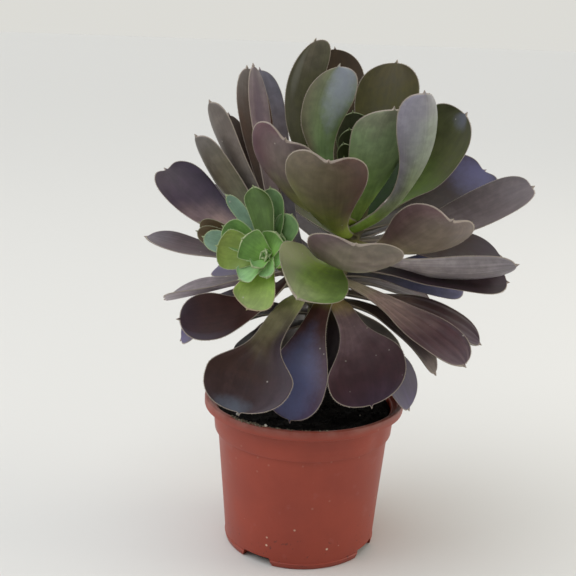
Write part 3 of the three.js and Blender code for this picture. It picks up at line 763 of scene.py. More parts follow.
@dataclass
class Stem:
    """The main stem and its side branch, in millimetres."""

    foot: float = 58.0
    top: float = 208.0
    foot_radius: float = 7.5
    top_radius: float = 6.5
    top_gap: float = 0.3
    axis_points: int = 300
    start_x: float = 2.0
    lean_foot: float = 115.0
    lean_top: float = 215.0
    lean_x: float = 26.0
    lean_y: float = 10.0
    branch_points: tuple = ((8, 2, 144), (-2, -4, 162), (-6, -16, 174), (-17, -34, 182))
    branch_radius: float = 5.0
    sides: int = 72
    row_step: float = 0.8
    scar_step: float = 4.6
    scar_half_width: float = 3.0
    scar_half_height: float = 1.5
    scar_height: float = 0.5
    scar_bend: float = 0.35
    scar_rim: float = 0.35
    scar_pit_share: float = 0.6
    scar_pit_reach: float = 0.6
    bark_lumps: tuple = ((2.2, 0.16, 0.35), (9.0, 0.5, 0.22))
    branch_seed: float = 40.0

    def centre(self, z: np.ndarray) -> np.ndarray:
        """Points of the stem's axis at the given heights."""
        lean = smoothstep((z - self.lean_foot) / (self.lean_top - self.lean_foot))
        return np.stack([self.start_x + self.lean_x * lean, self.lean_y * lean, z], axis=1)

    def main_axis(self) -> Axis:
        """The stem's axis, whose places are heights."""
        z = np.linspace(self.foot, self.top + self.top_gap, self.axis_points)
        share = (z - self.foot) / (self.top - self.foot)
        return Axis(z, self.centre(z), between((self.foot_radius, self.top_radius), share))

    def branch_axis(self) -> Axis:
        """The branch's axis, whose places are distances from its start."""
        points = bezier(np.array(self.branch_points, float), np.linspace(0, 1, self.axis_points))
        return Axis(distances_along(points), points, np.full(len(points), self.branch_radius))

    def _scars(self, places: np.ndarray, angles: np.ndarray, radius: float) -> np.ndarray:
        """The relief of the scars that fallen leaves left in a spiral.

        Args:
            places: places along the shoot.
            angles: angles round it, in radians.
            radius: the shoot's radius.

        Returns:
            The height over the bare bark at each place and angle.
        """
        relief = np.zeros((len(places), len(angles)))
        count = int((places[-1] - places[0]) / self.scar_step)
        for i in range(count):
            at = places[0] + self.scar_step * (i + 0.5)
            turn = (math.radians(GOLDEN_ANGLE) * i) % math.tau
            away = (angles - turn + math.pi) % math.tau - math.pi
            x = away[None, :] * radius / self.scar_half_width
            y = (places[:, None] - at) / self.scar_half_height
            ring = np.hypot(x, y + self.scar_bend * x**2)
            relief += self.scar_height * np.exp(-(((ring - 1) / self.scar_rim) ** 2))
            relief -= self.scar_pit_share * self.scar_height * np.exp(-((ring / self.scar_pit_reach) ** 2))
        return relief

    def _shoot(self, axis: Axis, seed: float) -> Surface:
        """The bark of one shoot, closed flat at both ends.

        Args:
            axis: the shoot's axis.
            seed: moves the bark's noise.

        Returns:
            Its surface.
        """
        count = int((axis.places[-1] - axis.places[0]) / self.row_step)
        places = np.linspace(axis.places[0], axis.places[-1], count)
        angles = np.linspace(0, math.tau, self.sides, endpoint=False)
        middle = np.stack([axis.point_at(at) for at in places])
        along = unit(np.gradient(middle, axis=0))
        side = unit(np.cross(along, np.array([0.0, 1.0, 0.0])))
        other = np.cross(side, along)
        radii = np.array([axis.radius_at(at) for at in places])
        relief = self._scars(places, angles, float(radii.mean()))
        for i, at in enumerate(places):
            for j, angle in enumerate(angles):
                for across, along_axis, height in self.bark_lumps:
                    spot = Vector((*place_round(across, angle), at * along_axis + seed))
                    relief[i, j] += height * noise.noise(spot)
        reach = (radii[:, None] + relief)[:, :, None]
        cos, sin = np.cos(angles)[None, :, None], np.sin(angles)[None, :, None]
        ring = side[:, None, :] * cos + other[:, None, :] * sin
        points = (middle[:, None, :] + ring * reach).reshape(-1, 3)
        points = np.vstack([points, middle[0], middle[-1]])
        n = self.sides
        faces = ring_faces(count, n)
        first, last = count * n, count * n + 1
        for j in range(n):
            k = (j + 1) % n
            faces += [(first, k, j), (last, (count - 1) * n + j, (count - 1) * n + k)]
        values = {"relief": np.concatenate([relief.reshape(-1), [0.0, 0.0]])}
        return Surface(points, faces, values)

    def build(self, material: bpy.types.Material) -> bpy.types.Object:
        """Makes the stem with its branch."""
        shoots = [self._shoot(self.main_axis(), 0.0), self._shoot(self.branch_axis(), self.branch_seed)]
        return make_piece("stem_with_branch", Surface.joined(shoots), [material], ("stem",))


@dataclass(frozen=True)
class Blade:
    """The form of one spoon-shaped leaf, in millimetres and degrees.

    The two bows push the midrib towards the upper face near the root and near the tip, and side
    pushes it sideways. Widening says how late the blade gets its width. The notch sets the middle
    of the tip back, and the skew slides the two edges past each other along the leaf.
    """

    root: np.ndarray
    tip: np.ndarray
    bow_root: float
    bow_tip: float
    side: float
    width: float
    roll: float
    cup: float
    widening: float
    up: np.ndarray
    size: float = 1.0
    petiole: float = 11.0
    notch: float = 0.0
    skew: float = 0.0


@dataclass(frozen=True)
class Rows:
    """The rows of a leaf's mesh from root to tip, with one number a row.

    Shares say how far along the midrib a row is, and past how far beyond its end, in millimetres.
    Rounds narrow the rows of the tip's round, halves are the half widths, and on the tip's point
    tails are above 0.
    """

    shares: np.ndarray
    past: np.ndarray
    rounds: np.ndarray
    halves: np.ndarray
    tails: np.ndarray


@dataclass
class BladeMaker:
    """Turns a leaf's form into its fine mesh, with the pale fringe on its rim."""

    root_width: float = 8.0
    root_span: float = 0.16
    widest_at: float = 0.76
    tip_power: float = 2.7
    roll_span: float = 0.5
    thick_span: float = 0.55
    edge_thickness: float = 0.6
    petiole_thickness: float = 3.8
    blade_thickness: float = 1.9
    edge_round: float = 30.0
    mucro_length: float = 2.0
    mucro_rows: tuple = ((0.15, 0.75), (0.4, 0.5), (0.7, 0.32), (1.0, 0.12))
    petiole_rows: int = 34
    tip_rows: int = 20
    last_turn: float = 87.0
    columns: int = 25
    wave_height: float = 0.8
    wave_from: float = 0.25
    wave_span: float = 0.3
    wave_turns: tuple = (1.7, 1.4)
    wave_fade: float = 2.0
    furrow_turns: float = 4.5
    furrow_span: float = 0.3
    furrow_fade: float = 1.5
    notch_share: float = 0.16
    notch_from: float = 0.6
    skew_from: float = 0.3
    skew_span: float = 0.4
    seat_gap: float = -0.5
    seat_reach: float = 8.0
    seat_span: float = 0.16
    seat_steps: int = 18
    fringe_step: float = 1.15
    fringe_start: float = 0.15
    fringe_end: float = 0.5
    fringe_jitter: float = 0.3
    fringe_lean: tuple = (0.1, 0.7)
    fringe_sink: float = 0.1
    fringe_length: tuple = (0.35, 0.75)
    fringe_radius: float = 0.17
    fringe_flatness: float = 1.6
    fringe_along: float = 0.8

    def _rows(self, blade: Blade) -> Rows:
        """The rows of a blade's mesh.

        Args:
            blade: the leaf's form.

        Returns:
            Its rows.
        """
        lower = np.linspace(0, self.widest_at, self.petiole_rows)
        turn = np.radians(np.linspace(0, self.last_turn, self.tip_rows))[1:]
        upper = self.widest_at + (1 - self.widest_at) * np.sin(turn) ** (2 / self.tip_power)
        point = np.array(self.mucro_rows) * blade.size
        before = np.zeros(len(lower) + len(upper))
        shares = np.concatenate([lower, upper, np.ones(len(point))])
        past = np.concatenate([before, point[:, 0] * self.mucro_length])
        rounds = np.concatenate([np.ones(len(lower)), np.cos(turn), np.zeros(len(point))])
        tails = np.concatenate([before, point[:, 1]])
        ends = self.root_width * blade.size / blade.width, blade.petiole * blade.size / blade.width
        petiole = between(ends, smoothstep(shares / self.root_span))
        spread = smoothstep(shares / self.widest_at) ** blade.widening
        halves = between((petiole, 1.0), spread) * rounds * blade.width / 2
        return Rows(shares, past, rounds, np.maximum(halves, tails), tails)

    @staticmethod
    def _midrib(blade: Blade) -> tuple[np.ndarray, np.ndarray]:
        """The midrib of a blade.

        Args:
            blade: the leaf's form.

        Returns:
            Its four control points, and the direction that the upper face turns to.
        """
        chord = blade.tip - blade.root
        along = unit(chord)
        up = unit(blade.up - along * np.dot(along, blade.up))
        across = np.cross(along, up)
        near = blade.root + chord / 3 + up * blade.bow_root + across * blade.side
        far = blade.root + chord * 2 / 3 + up * blade.bow_tip + across * blade.side
        return np.array([blade.root, near, far, blade.tip]), up

    @staticmethod
    def _rim_distance(lengths: np.ndarray, halves: np.ndarray, columns: np.ndarray) -> np.ndarray:
        """How far each point of the flattened blade is from the blade's outline.

        Args:
            lengths: the rows' distances along the leaf.
            halves: their half widths.
            columns: the places across, from -1 to 1.

        Returns:
            The distances, row by row.
        """
        outline = np.vstack([
            np.stack([lengths, halves], axis=1), np.stack([lengths, -halves], axis=1)[::-1]
        ])
        start, end = outline[:-1], outline[1:]
        span = end - start
        square = np.maximum(np.sum(span**2, axis=1), 1e-12)
        grid = np.stack([
            np.repeat(lengths[:, None], len(columns), axis=1), halves[:, None] * columns[None, :]
        ], axis=2).reshape(-1, 1, 2)
        share = np.clip(np.sum((grid - start) * span, axis=2) / square, 0, 1)
        return np.min(np.linalg.norm(start + span * share[..., None] - grid, axis=2), axis=1)

    def _seat(self, points: np.ndarray, along: np.ndarray, shoot: Axis) -> np.ndarray:
        """How far each root point slides along the petiole to meet its shoot.

        Args:
            points: the root's points.
            along: the petiole's direction at each.
            shoot: what the leaf grows on.

        Returns:
            The slides, in millimetres.
        """
        low, high = np.full(len(points), -self.seat_reach), np.full(len(points), self.seat_reach)
        for _ in range(self.seat_steps):
            middle = (low + high) / 2
            inside = shoot.clearance(points + along * middle[:, None]) < self.seat_gap
            low = np.where(inside, middle, low)
            high = np.where(inside, high, middle)
        return high

    def _fringe(
        self, rim: np.ndarray, outward: np.ndarray, along: np.ndarray, rng: np.random.Generator
    ) -> Surface:
        """Fine pale teeth along one side of the rim.

        Args:
            rim: the rim's points from root to tip.
            outward: the direction out of the blade at each.
            along: the leaf's direction at each.
            rng: the leaf's own random numbers.

        Returns:
            The teeth, each a closed three-sided spike.
        """
        lengths = distances_along(rim)
        at = np.arange(lengths[-1] * self.fringe_start, lengths[-1] - self.fringe_end, self.fringe_step)
        at = at + rng.uniform(-self.fringe_jitter, self.fringe_jitter, len(at))
        out = unit(line_at(at, lengths, outward))
        forward = unit(line_at(at, lengths, along))
        reach = unit(out + forward * rng.uniform(*self.fringe_lean, (len(at), 1)))
        side = unit(np.cross(reach, forward))
        other = np.cross(side, reach) * self.fringe_flatness
        place = line_at(at, lengths, rim) - out * self.fringe_sink
        length = rng.uniform(*self.fringe_length, (len(at), 1))
        corners = [
            place + self.fringe_radius * (side * math.cos(turn) + other * math.sin(turn))
            for turn in turns(3)
        ]
        points = np.stack([*corners, place + reach * length], axis=1).reshape(-1, 3)
        faces: list[tuple[int, ...]] = []
        for a in range(0, len(points), 4):
            faces += [(a, a + 2, a + 1), (a, a + 1, a + 3), (a + 1, a + 2, a + 3), (a + 2, a, a + 3)]
        ones = np.ones(len(points))
        values = {"along": ones * self.fringe_along, "across": ones, "face": ones, "rim": ones * 0.0}
        return Surface(points, faces, values)

    def _relief(
        self, blade: Blade, rows: Rows, columns: np.ndarray, ridges: float, rng: np.random.Generator
    ) -> np.ndarray:
        """How far the blade's wavy edges and its ridges rise over its plain cup.

        Args:
            blade: the leaf's form.
            rows: its rows.
            columns: the places across it, from -1 to 1.
            ridges: how high the ridges along it are.
            rng: the leaf's own random numbers.

        Returns:
            The rise at each row and column.
        """
        starts = rng.uniform(0, math.tau, 3)
        wave = np.zeros((len(rows.shares), len(columns)))
        for count, start, edge in zip(self.wave_turns, starts[:2], (columns, -columns), strict=True):
            wave += np.sin(math.tau * count * rows.shares + start)[:, None] * np.maximum(edge, 0) ** 2
        swell = smoothstep((rows.shares - self.wave_from) / self.wave_span)[:, None]
        rounds = rows.rounds[:, None]
        relief = self.wave_height * blade.size * swell * wave * np.minimum(rounds * self.wave_fade, 1)
        furrows = np.cos(math.pi * self.furrow_turns * columns + starts[2])[None, :]
        furrows = furrows * smoothstep(rows.shares / self.furrow_span)[:, None]
        return relief + ridges * furrows * np.minimum(rounds * self.furrow_fade, 1)

    def _onward(self, blade: Blade, rows: Rows, flat: np.ndarray, columns: np.ndarray) -> np.ndarray:
        """How far the skew and the notch move each point along the leaf."""
        hollow = np.exp(-((flat / (self.notch_share * blade.width)) ** 2))
        fade = smoothstep((rows.shares - self.notch_from) / (1 - self.notch_from))
        slide = smoothstep((rows.shares - self.skew_from) / self.skew_span) * rows.rounds
        return blade.skew * slide[:, None] * columns[None, :] - blade.notch * hollow * fade[:, None]

    def _thickness(self, blade: Blade, rows: Rows, columns: np.ndarray) -> np.ndarray:
        """The leaf's thickness at each point, rounded off at the rim."""
        ends = self.petiole_thickness, self.blade_thickness
        middle = between(ends, smoothstep(rows.shares / self.thick_span)) * blade.size
        body = self.edge_thickness + (middle - self.edge_thickness)[:, None] * (1 - columns**2)[None, :]
        body = np.maximum(body, self.edge_thickness)
        body = np.where(rows.tails[:, None] > 0, 2 * rows.halves[:, None], body)
        return body * np.sqrt(np.maximum(1 - np.abs(columns) ** self.edge_round, 0))[None, :]

    def surface(self, blade: Blade, seed: int, shoot: Axis | None = None, ridges: float = 0.0) -> Surface:
        """The leaf's fine mesh.

        Args:
            blade: the leaf's form.
            seed: starts the leaf's own random numbers.
            shoot: what the leaf is seated on, if anything.
            ridges: how high the ridges along the blade are, in millimetres.

        Returns:
            Its surface, with the values that its material reads.
        """
        rng = np.random.default_rng(seed)
        rows = self._rows(blade)
        ribs, up = self._midrib(blade)
        along = bezier_direction(ribs, rows.shares)
        centre = bezier(ribs, rows.shares) + along * rows.past[:, None]
        normal = unit(up - along * np.sum(along * up, axis=1, keepdims=True))
        roll = math.radians(blade.roll) * smoothstep(rows.shares / self.roll_span)
        normal = turned_about(normal, along, roll)
        across = np.cross(along, normal)
        columns = np.sin(math.pi / 2 * np.linspace(-1, 1, self.columns))
        cup = math.radians(blade.cup)
        bend_radius = rows.halves[:, None] / cup
        flat = bend_radius * np.sin(cup * columns)[None, :]
        lift = bend_radius * (1 - np.cos(cup * columns))[None, :]
        lift = lift + self._relief(blade, rows, columns, ridges, rng)
        onward = self._onward(blade, rows, flat, columns)
        half = self._thickness(blade, rows, columns) / 2
        upper, lower = (
            centre[:, None, :] + across[:, None, :] * flat[:, :, None]
            + normal[:, None, :] * raised[:, :, None] + along[:, None, :] * onward[:, :, None]
            for raised in (lift + half, lift - half)
        )
        count = self.columns
        if shoot is not None:
            fade = np.clip(1 - rows.shares / self.seat_span, 0, 1)[:, None, None]
            for grid in (upper, lower):
                slide = self._seat(grid[0], np.repeat(along[:1], count, axis=0), shoot)
                grid += fade * slide[None, :, None] * along[:, None, :]
        loop = np.concatenate([upper, lower[:, -2:0:-1]], axis=1)
        number, ring = loop.shape[:2]
        order = np.concatenate([np.arange(count), np.arange(count - 2, 0, -1)])
        lengths = distances_along(centre)
        rim = self._rim_distance(lengths, rows.halves, columns).reshape(number, count)[:, order]
        sides = [np.full(count, Face.UPPER.value), np.full(count - 2, Face.LOWER.value)]
        values = {
            "along": np.repeat(lengths / lengths[-1], ring),
            "across": np.tile(columns[order], number),
            "face": np.tile(np.concatenate(sides), number),
            "rim": rim.reshape(-1),
        }
        faces = ring_faces(number, ring, flipped=True)
        faces.append(tuple(range(ring)))
        faces.append(tuple((number - 1) * ring + j for j in reversed(range(ring))))
        parts = [Surface(loop.reshape(-1, 3), faces, values)]
        for edge, inner in ((0, 2), (count - 1, count - 3)):
            outward = upper[:, edge] - upper[:, inner]
            parts.append(self._fringe(upper[:, edge], outward, along, rng))
        return Surface.joined(parts)


@dataclass(frozen=True)
class Leaf:
    """One large leaf: its name, where it grows, its form and its colours."""

    name: str
    shoot: Shoot
    at: float
    tip: tuple[float, float, float]
    bows: tuple[float, float, float]
    width: float
    roll: float
    cup: float
    widening: float
    tones: Tones
    ridges: float = 0.0
    notch: float = 0.0
    skew: float = 0.0
    petiole: float = 11.0


STEM, BRANCH = Shoot.STEM, Shoot.BRANCH

LEAVES = (
    # Its pale patch on the upper left edge is a painted soft highlight.
    Leaf("leaf_top_1", STEM, 199, (-1, 38, 299), (-20, -16, -14), 25, -10, 38, 0.8,
         Tones("#5c7030", "#34360e", "#54533a", "#6f685c", "#4c4b34", -1, bloom_and_painted_light="#8a8c84",
               bloom_and_painted_light_at=(0.85, -0.5), bloom_and_painted_light_reach=(0.15, 0.3), bloom_and_painted_light_amount=0.4), skew=11),
    Leaf("leaf_top_2", STEM, 195, (12, 66, 294), (-9, -4, 0), 36, 0, 30, 1.5,
         Tones("#2c3410", "#3a3418", "#3d2d14", "#33240e")),
    # Its bluish-grey patch near the tip is a painted highlight of sky light.
    Leaf("leaf_top_3", STEM, 204, (12, -4, 286), (-22, -14, 6), 29, 30, 30, 4,
         Tones("#56803a", "#6a8656", "#728257", "#70745f", "#5c5a40", 1, bloom_and_painted_light="#a6adc2",
               bloom_and_painted_light_at=(0.92, -0.45), bloom_and_painted_light_reach=(0.45, 0.8), bloom_and_painted_light_amount=0.62, seen=Face.LOWER), skew=-7),
    Leaf("leaf_top_4", STEM, 203, (48, 38, 288), (-9, -5, 0), 46, 0, 25, 1.5,
         Tones("#54682a", "#44461a", "#49451b", "#50482c")),
    # Its dark flank is painted shade on the half turned from the light.
    Leaf("leaf_top_5", STEM, 202.4, (42, -22, 265), (-1, -7, 0), 43, 0, 30, 0.6,
         Tones("#8da658", "#7f9f5c", "#8fa67a", "#858672", "#1e2a12", -1, seen=Face.LOWER)),
    # Its lilac flank and patch are painted sheen of sky light.
    Leaf("leaf_top_6", STEM, 193.5, (56, -38, 275), (-20, -12, -12), 32, 0, 50, 3.2,
         Tones("#8fb04c", "#94a47a", "#8e9688", "#96949a", "#9a96a2", 1, bloom_and_painted_light="#a09db0",
               bloom_and_painted_light_at=(0.85, 0.4), bloom_and_painted_light_reach=(0.3, 0.6), bloom_and_painted_light_amount=0.4, seen=Face.LOWER), skew=4),
    # Its bluish patch at the tip is a painted glint.
    Leaf("leaf_top_7", STEM, 199, (89, 25, 260), (-14, -8, 0), 49, 20, 30, 1.5,
         Tones("#8ec030", "#4e661c", "#454a22", "#3d3c2c", bloom_and_painted_light="#6c6f86", bloom_and_painted_light_at=(0.97, 0.0),
               bloom_and_painted_light_reach=(0.12, 0.5), bloom_and_painted_light_amount=0.5), skew=-8),
    # Its violet-blue patch at the tip is a painted sheen of sky light.
    Leaf("leaf_right_1", STEM, 193.5, (109, 48, 226), (-6, -4, 0), 44, 35, 30, 1.5,
         Tones("#66624e", "#5e5650", "#3a2c26", "#4a4450", "#3e3232", -1, bloom_and_painted_light="#5c5a84",
               bloom_and_painted_light_at=(0.95, 0.0), bloom_and_painted_light_reach=(0.3, 1.2), bloom_and_painted_light_amount=0.75), notch=3),
    Leaf("leaf_right_2", STEM, 188, (127, 0, 223), (-10, -8, 0), 36, 30, 30, 1.5,
         Tones("#8c8478", "#a39696", "#766a6c", "#7e7578", seen=Face.LOWER), notch=1.5),
    Leaf("leaf_right_3", STEM, 186, (73, -60, 214), (-14, -13, 0), 47, -30, 40, 1.6,
         Tones("#8f8a50", "#8a825e", "#786c5e", "#7c6e6a", "#664f50", 1, seen=Face.LOWER), notch=3),
    Leaf("leaf_right_4", STEM, 182.5, (116, 25, 176), (4, 3, 0), 40, 20, 20, 1.7,
         Tones("#4c4436", "#42332c", "#3c2824", "#403642")),
    Leaf("leaf_right_5", STEM, 179, (118, -12, 179), (-4, -12, 0), 22, -55, 40, 1.5,
         Tones("#a89c90", "#aca2a2", "#948c8e", "#908a90", streaks=0.15, seen=Face.LOWER), ridges=0.12),
    Leaf("leaf_right_6", STEM, 172.5, (118, 8, 164), (-1, 0, 0), 34, 25, 20, 1.7,
         Tones("#5c524c", "#463840", "#3c2e32", "#3e3036")),
    # Its bluish blade and tip tones are partly a painted reflection of sky light on the leaf's own violet.
    Leaf("leaf_right_7", STEM, 167.5, (95, 24, 158), (3, 3, 0), 36, 35, 20, 1.7,
         Tones("#5f5a58", "#6e6a7e", "#8082ae", "#9892ba")),
    Leaf("leaf_low_right_1", STEM, 164.5, (86, -48, 130), (6, 4, 0), 38, 3, 20, 1.5,
         Tones("#b0a48e", "#a08880", "#482f34", "#56464c", streaks=0.18), ridges=0.45),
    Leaf("leaf_low_right_2", STEM, 158, (101, -10, 131), (7, 8, 0), 38, 10, 20, 1.5,
         Tones("#908478", "#746058", "#4c3638", "#4c3c46", streaks=0.18), ridges=0.4),
    Leaf("leaf_low_right_3", STEM, 163.6, (80, 46, 139), (6, 5, 0), 33, 20, 20, 1.5,
         Tones("#7c6e60", "#705e5c", "#5c4e50", "#5f504f", streaks=0.15), ridges=0.25),
    Leaf("leaf_low_right_4", STEM, 152.5, (74, -25, 117), (14, 12, 0), 18, 10, 30, 1.5,
         Tones("#6c6050", "#5c4e4c", "#5c4e50", "#8a7e78", streaks=0.15), ridges=0.2),
    Leaf("leaf_skirt_1", BRANCH, 20, (-36, -56, 101), (12, 12, 0), 50, -25, 20, 8,
         Tones("#e4eca0", "#958f6e", "#36201a", "#36292e", "#40323a", -1, 0.42, bloom_and_painted_light="#5d6674",
               bloom_and_painted_light_at=(0.98, 0.3), bloom_and_painted_light_reach=(0.12, 0.9), bloom_and_painted_light_amount=0.7), ridges=0.1, skew=2, petiole=15),
    Leaf("leaf_skirt_2", STEM, 163, (-8, -47, 94), (10, 10, 0), 37, 0, 15, 2.2,
         Tones("#8c8c34", "#4a2a26", "#584656", "#4e4160", bloom_and_painted_light="#656e98", bloom_and_painted_light_at=(0.76, 0.1),
               bloom_and_painted_light_reach=(0.5, 1.0), bloom_and_painted_light_amount=0.75, specks=0.02)),
    Leaf("leaf_skirt_3", STEM, 154, (36, -56, 108), (12, 14, 0), 45, 20, 15, 4,
         Tones("#c0a878", "#80686e", "#371c22", "#382636", stop=0.55, specks=0.05),
         ridges=0.15, skew=4, petiole=13),
    Leaf("leaf_skirt_4", STEM, 147.5, (61, -20, 93), (8, 8, 0), 44, 0, 20, 2.2,
         Tones("#5c503c", "#4c3c44", "#4a4056", "#5a5270")),
    Leaf("leaf_skirt_5", STEM, 148, (22, -38, 108), (6, 6, 0), 24, 60, 40, 1.3,
         Tones("#4c4434", "#42363a", "#3a3034", "#3e3438")),
    Leaf("leaf_left_1", BRANCH, 55, (-86.5, 7, 226), (-6, -6, 0), 33, -28, 25, 1.8,
         Tones("#a08a7c", "#a68c82", "#473946", "#544a50", "#3e3342", 1), notch=3),
    Leaf("leaf_left_2", BRANCH, 47, (-93.5, -8, 187), (0, -4, 0), 26, -8, 25, 1.5,
         Tones("#4a3c40", "#4c3a40", "#5e4e52", "#746c72", streaks=0.18)),
    Leaf("leaf_left_3", BRANCH, 33, (-54, 28, 163), (0, 0, 0), 31, -20, 20, 1.5,
         Tones("#605a58", "#605860", "#625a74", "#5c5474")),
    Leaf("leaf_left_4", BRANCH, 42, (-83, -2, 149), (0, -1, 0), 30, 0, 40, 1.5,
         Tones("#5c5048", "#7a6e70", "#a89ca2", "#aca2a8", streaks=0.18, seen=Face.LOWER)),
    Leaf("leaf_left_5", BRANCH, 36.3, (-72, -32, 146), (-12, -9, 0), 28, -58, 15, 3,
         Tones("#4a3028", "#422420", "#38201f", "#2e1d28", bloom_and_painted_light="#4e4c60",
               bloom_and_painted_light_at=(0.9, -0.9), bloom_and_painted_light_reach=(0.4, 0.3), bloom_and_painted_light_amount=0.3)),
    Leaf("leaf_left_6", BRANCH, 28, (-74, 0, 124), (8, 8, 0), 34, -20, 20, 1.7,
         Tones("#443a38", "#463c42", "#504858", "#5c547a")),
    Leaf("leaf_left_7", STEM, 141, (-37, 5, 136), (3, 4, 0), 30, 0, 20, 1.5,
         Tones("#3c3430", "#382e30", "#302a2c", "#302a2e")),
    Leaf("leaf_left_8", STEM, 135, (-40, -16, 118), (6, 6, 0), 26, 0, 20, 1.5,
         Tones("#3c3430", "#382e30", "#302a2c", "#302a2e")),
    Leaf("leaf_upper_left_1", BRANCH, 47.2, (-67, 3, 244), (-5, -6, 4), 24, 65, 35, 1.5,
         Tones("#748456", "#6c7056", "#68614f", "#6a6460", seen=Face.LOWER)),
    Leaf("leaf_upper_left_2", BRANCH, 38, (-60, 10, 263), (-5, -6, 0), 20, 67, 35, 1.5,
         Tones("#5a5c40", "#66605a", "#786e66", "#68615c", seen=Face.LOWER)),
    Leaf("leaf_upper_left_3", BRANCH, 43, (-36, 12, 284), (-14, -12, 2), 17, 12, 35, 1.5,
         Tones("#6a6258", "#8a7a78", "#a69098", "#948c90", bloom_and_painted_light="#5e4c5c", bloom_and_painted_light_at=(0.78, 0.1),
               bloom_and_painted_light_reach=(0.25, 0.6), bloom_and_painted_light_amount=0.7, seen=Face.LOWER)),
    Leaf("leaf_upper_left_4", BRANCH, 34, (-40.5, 33, 282), (-14, -12, 0), 24, 0, 30, 1.5,
         Tones("#4e4a40", "#5c5048", "#624a38", "#8e8a86", "#603828", 1, seen=Face.LOWER)),
    Leaf("leaf_upper_left_5", BRANCH, 24, (-34, 63, 280), (-14, -12, 0), 27, 0, 30, 1.5,
         Tones("#5a5850", "#625c60", "#6f6668", "#787682")),
    Leaf("leaf_upper_left_6", BRANCH, 29.5, (-51, 36, 254), (-14, -12, 0), 23, 0, 30, 1.5,
         Tones("#42402c", "#40322a", "#402f28", "#463830")),
    Leaf("leaf_front_1", STEM, 181.2, (20, -103, 209), (-16, -19, 0), 51, -8, 30, 1.8,
         Tones("#b0bc50", "#c2c092", "#80766a", "#70685c", "#5a484a", 1, seen=Face.LOWER), notch=4),
    Leaf("leaf_front_2", STEM, 196.2, (-15.5, -54, 253), (-14, -12, 15), 47, -8, 25, 0.5,
         Tones("#a6b84a", "#b4b870", "#746860", "#756666", "#60444a", 1, seen=Face.LOWER), notch=4, skew=4),
    Leaf("leaf_front_3", STEM, 188.7, (6, -85, 246), (-12, -8, 8), 47, 0, 45, 1.3,
         Tones("#a8c050", "#88904a", "#6c634e", "#6c5f52", "#5c443c", -1, seen=Face.LOWER), notch=4),
    # Its olive-grey flank and patch on the left lobe are painted shade.
    Leaf("leaf_front_4", STEM, 170.5, (-7, -85, 175), (4, 12, 1), 46, -32, 40, 1.2,
         Tones("#9cba42", "#9cba46", "#90ac58", "#9ca67a", "#748e4c", -1, bloom_and_painted_light="#a0a47e",
               bloom_and_painted_light_at=(0.75, 0.8), bloom_and_painted_light_reach=(0.8, 0.75), bloom_and_painted_light_amount=1.0), skew=-3),
    Leaf("leaf_back_1", STEM, 196, (70, 95, 255), (-12, -8, 0), 42, 0, 25, 1.5,
         Tones("#1e3a08", "#1c3408", "#26381a", "#343828", roughness=0.8)),
    Leaf("leaf_back_2", STEM, 190.5, (25, 110, 235), (-12, -8, 0), 42, 0, 25, 1.5,
         Tones("#55582e", "#504838", "#54464a", "#584a50")),
    Leaf("leaf_back_3", STEM, 186.5, (-50, 90, 240), (-12, -8, 0), 40, 0, 25, 1.5,
         Tones("#55602c", "#4c4a2c", "#4a4632", "#4c4838")),
    Leaf("leaf_back_4", STEM, 187.5, (88, 85, 205), (-4, -3, 0), 42, 0, 25, 1.7,
         Tones("#544c3a", "#4a4040", "#443840", "#4a4250")),
    Leaf("leaf_back_5", STEM, 181, (45, 115, 190), (-4, -3, 0), 42, 0, 25, 1.7,
         Tones("#544c3a", "#4e4044", "#463a40", "#483e48")),
    Leaf("leaf_back_6", STEM, 175.5, (-15, 112, 200), (-4, -3, 0), 42, 0, 25, 1.7,
         Tones("#565038", "#4c4240", "#483c42", "#4c4450")),
    Leaf("leaf_back_7", STEM, 170, (-62, 78, 205), (-4, -3, 0), 40, 0, 25, 1.7,
         Tones("#544c3a", "#4a3e42", "#443844", "#4a4254")),
    Leaf("leaf_back_8", STEM, 156.5, (74, 71, 122), (6, 6, 0), 42, 0, 20, 2,
         Tones("#5a5040", "#4e4044", "#46363c", "#483c46"), ridges=0.3),
    Leaf("leaf_back_9", STEM, 164, (20, 88, 135), (6, 6, 0), 42, 0, 20, 2,
         Tones("#5a5240", "#4e4242", "#483a40", "#4a404a"), ridges=0.3),
    Leaf("leaf_back_10", STEM, 160, (-42, 66, 145), (6, 6, 0), 40, 0, 20, 2,
         Tones("#565040", "#4c4044", "#443842", "#484052"), ridges=0.3),
    Leaf("leaf_back_11", STEM, 150, (48, 52, 98), (10, 10, 0), 42, 0, 20, 2.2,
         Tones("#544c38", "#443a3e", "#403842", "#444258")),
    Leaf("leaf_back_12", STEM, 152, (-18, 55, 98), (10, 10, 0), 42, 0, 20, 2.2,
         Tones("#544c38", "#463a3c", "#40363e", "#444056")),
)


@dataclass
class Foliage:
    """All the large leaves."""

    leaves: tuple = LEAVES
    seed: int = 100
    maker: BladeMaker = field(default_factory=BladeMaker)

    def build(self, skin: LeafSkin, axes: dict[Shoot, Axis]) -> None:
        """Makes every large leaf.

        Args:
            skin: makes the leaves' materials.
            axes: what the leaves grow on.
        """
        for number, leaf in enumerate(self.leaves):
            tip = np.array(leaf.tip, float)
            shoot = axes[leaf.shoot]
            blade = Blade(
                shoot.leaf_root(leaf.at, tip), tip, *leaf.bows, leaf.width, leaf.roll, leaf.cup,
                leaf.widening, UP, petiole=leaf.petiole, notch=leaf.notch, skew=leaf.skew,
            )
            surface = self.maker.surface(blade, self.seed + number, shoot, leaf.ridges)
            skins = [skin.material(leaf.name + "_skin", leaf.tones)]
            make_piece(leaf.name + "_blade", surface, skins, (leaf.name,), LEAF_SHARP_ANGLE)


SMALL_LEAF_SIZE = 0.7


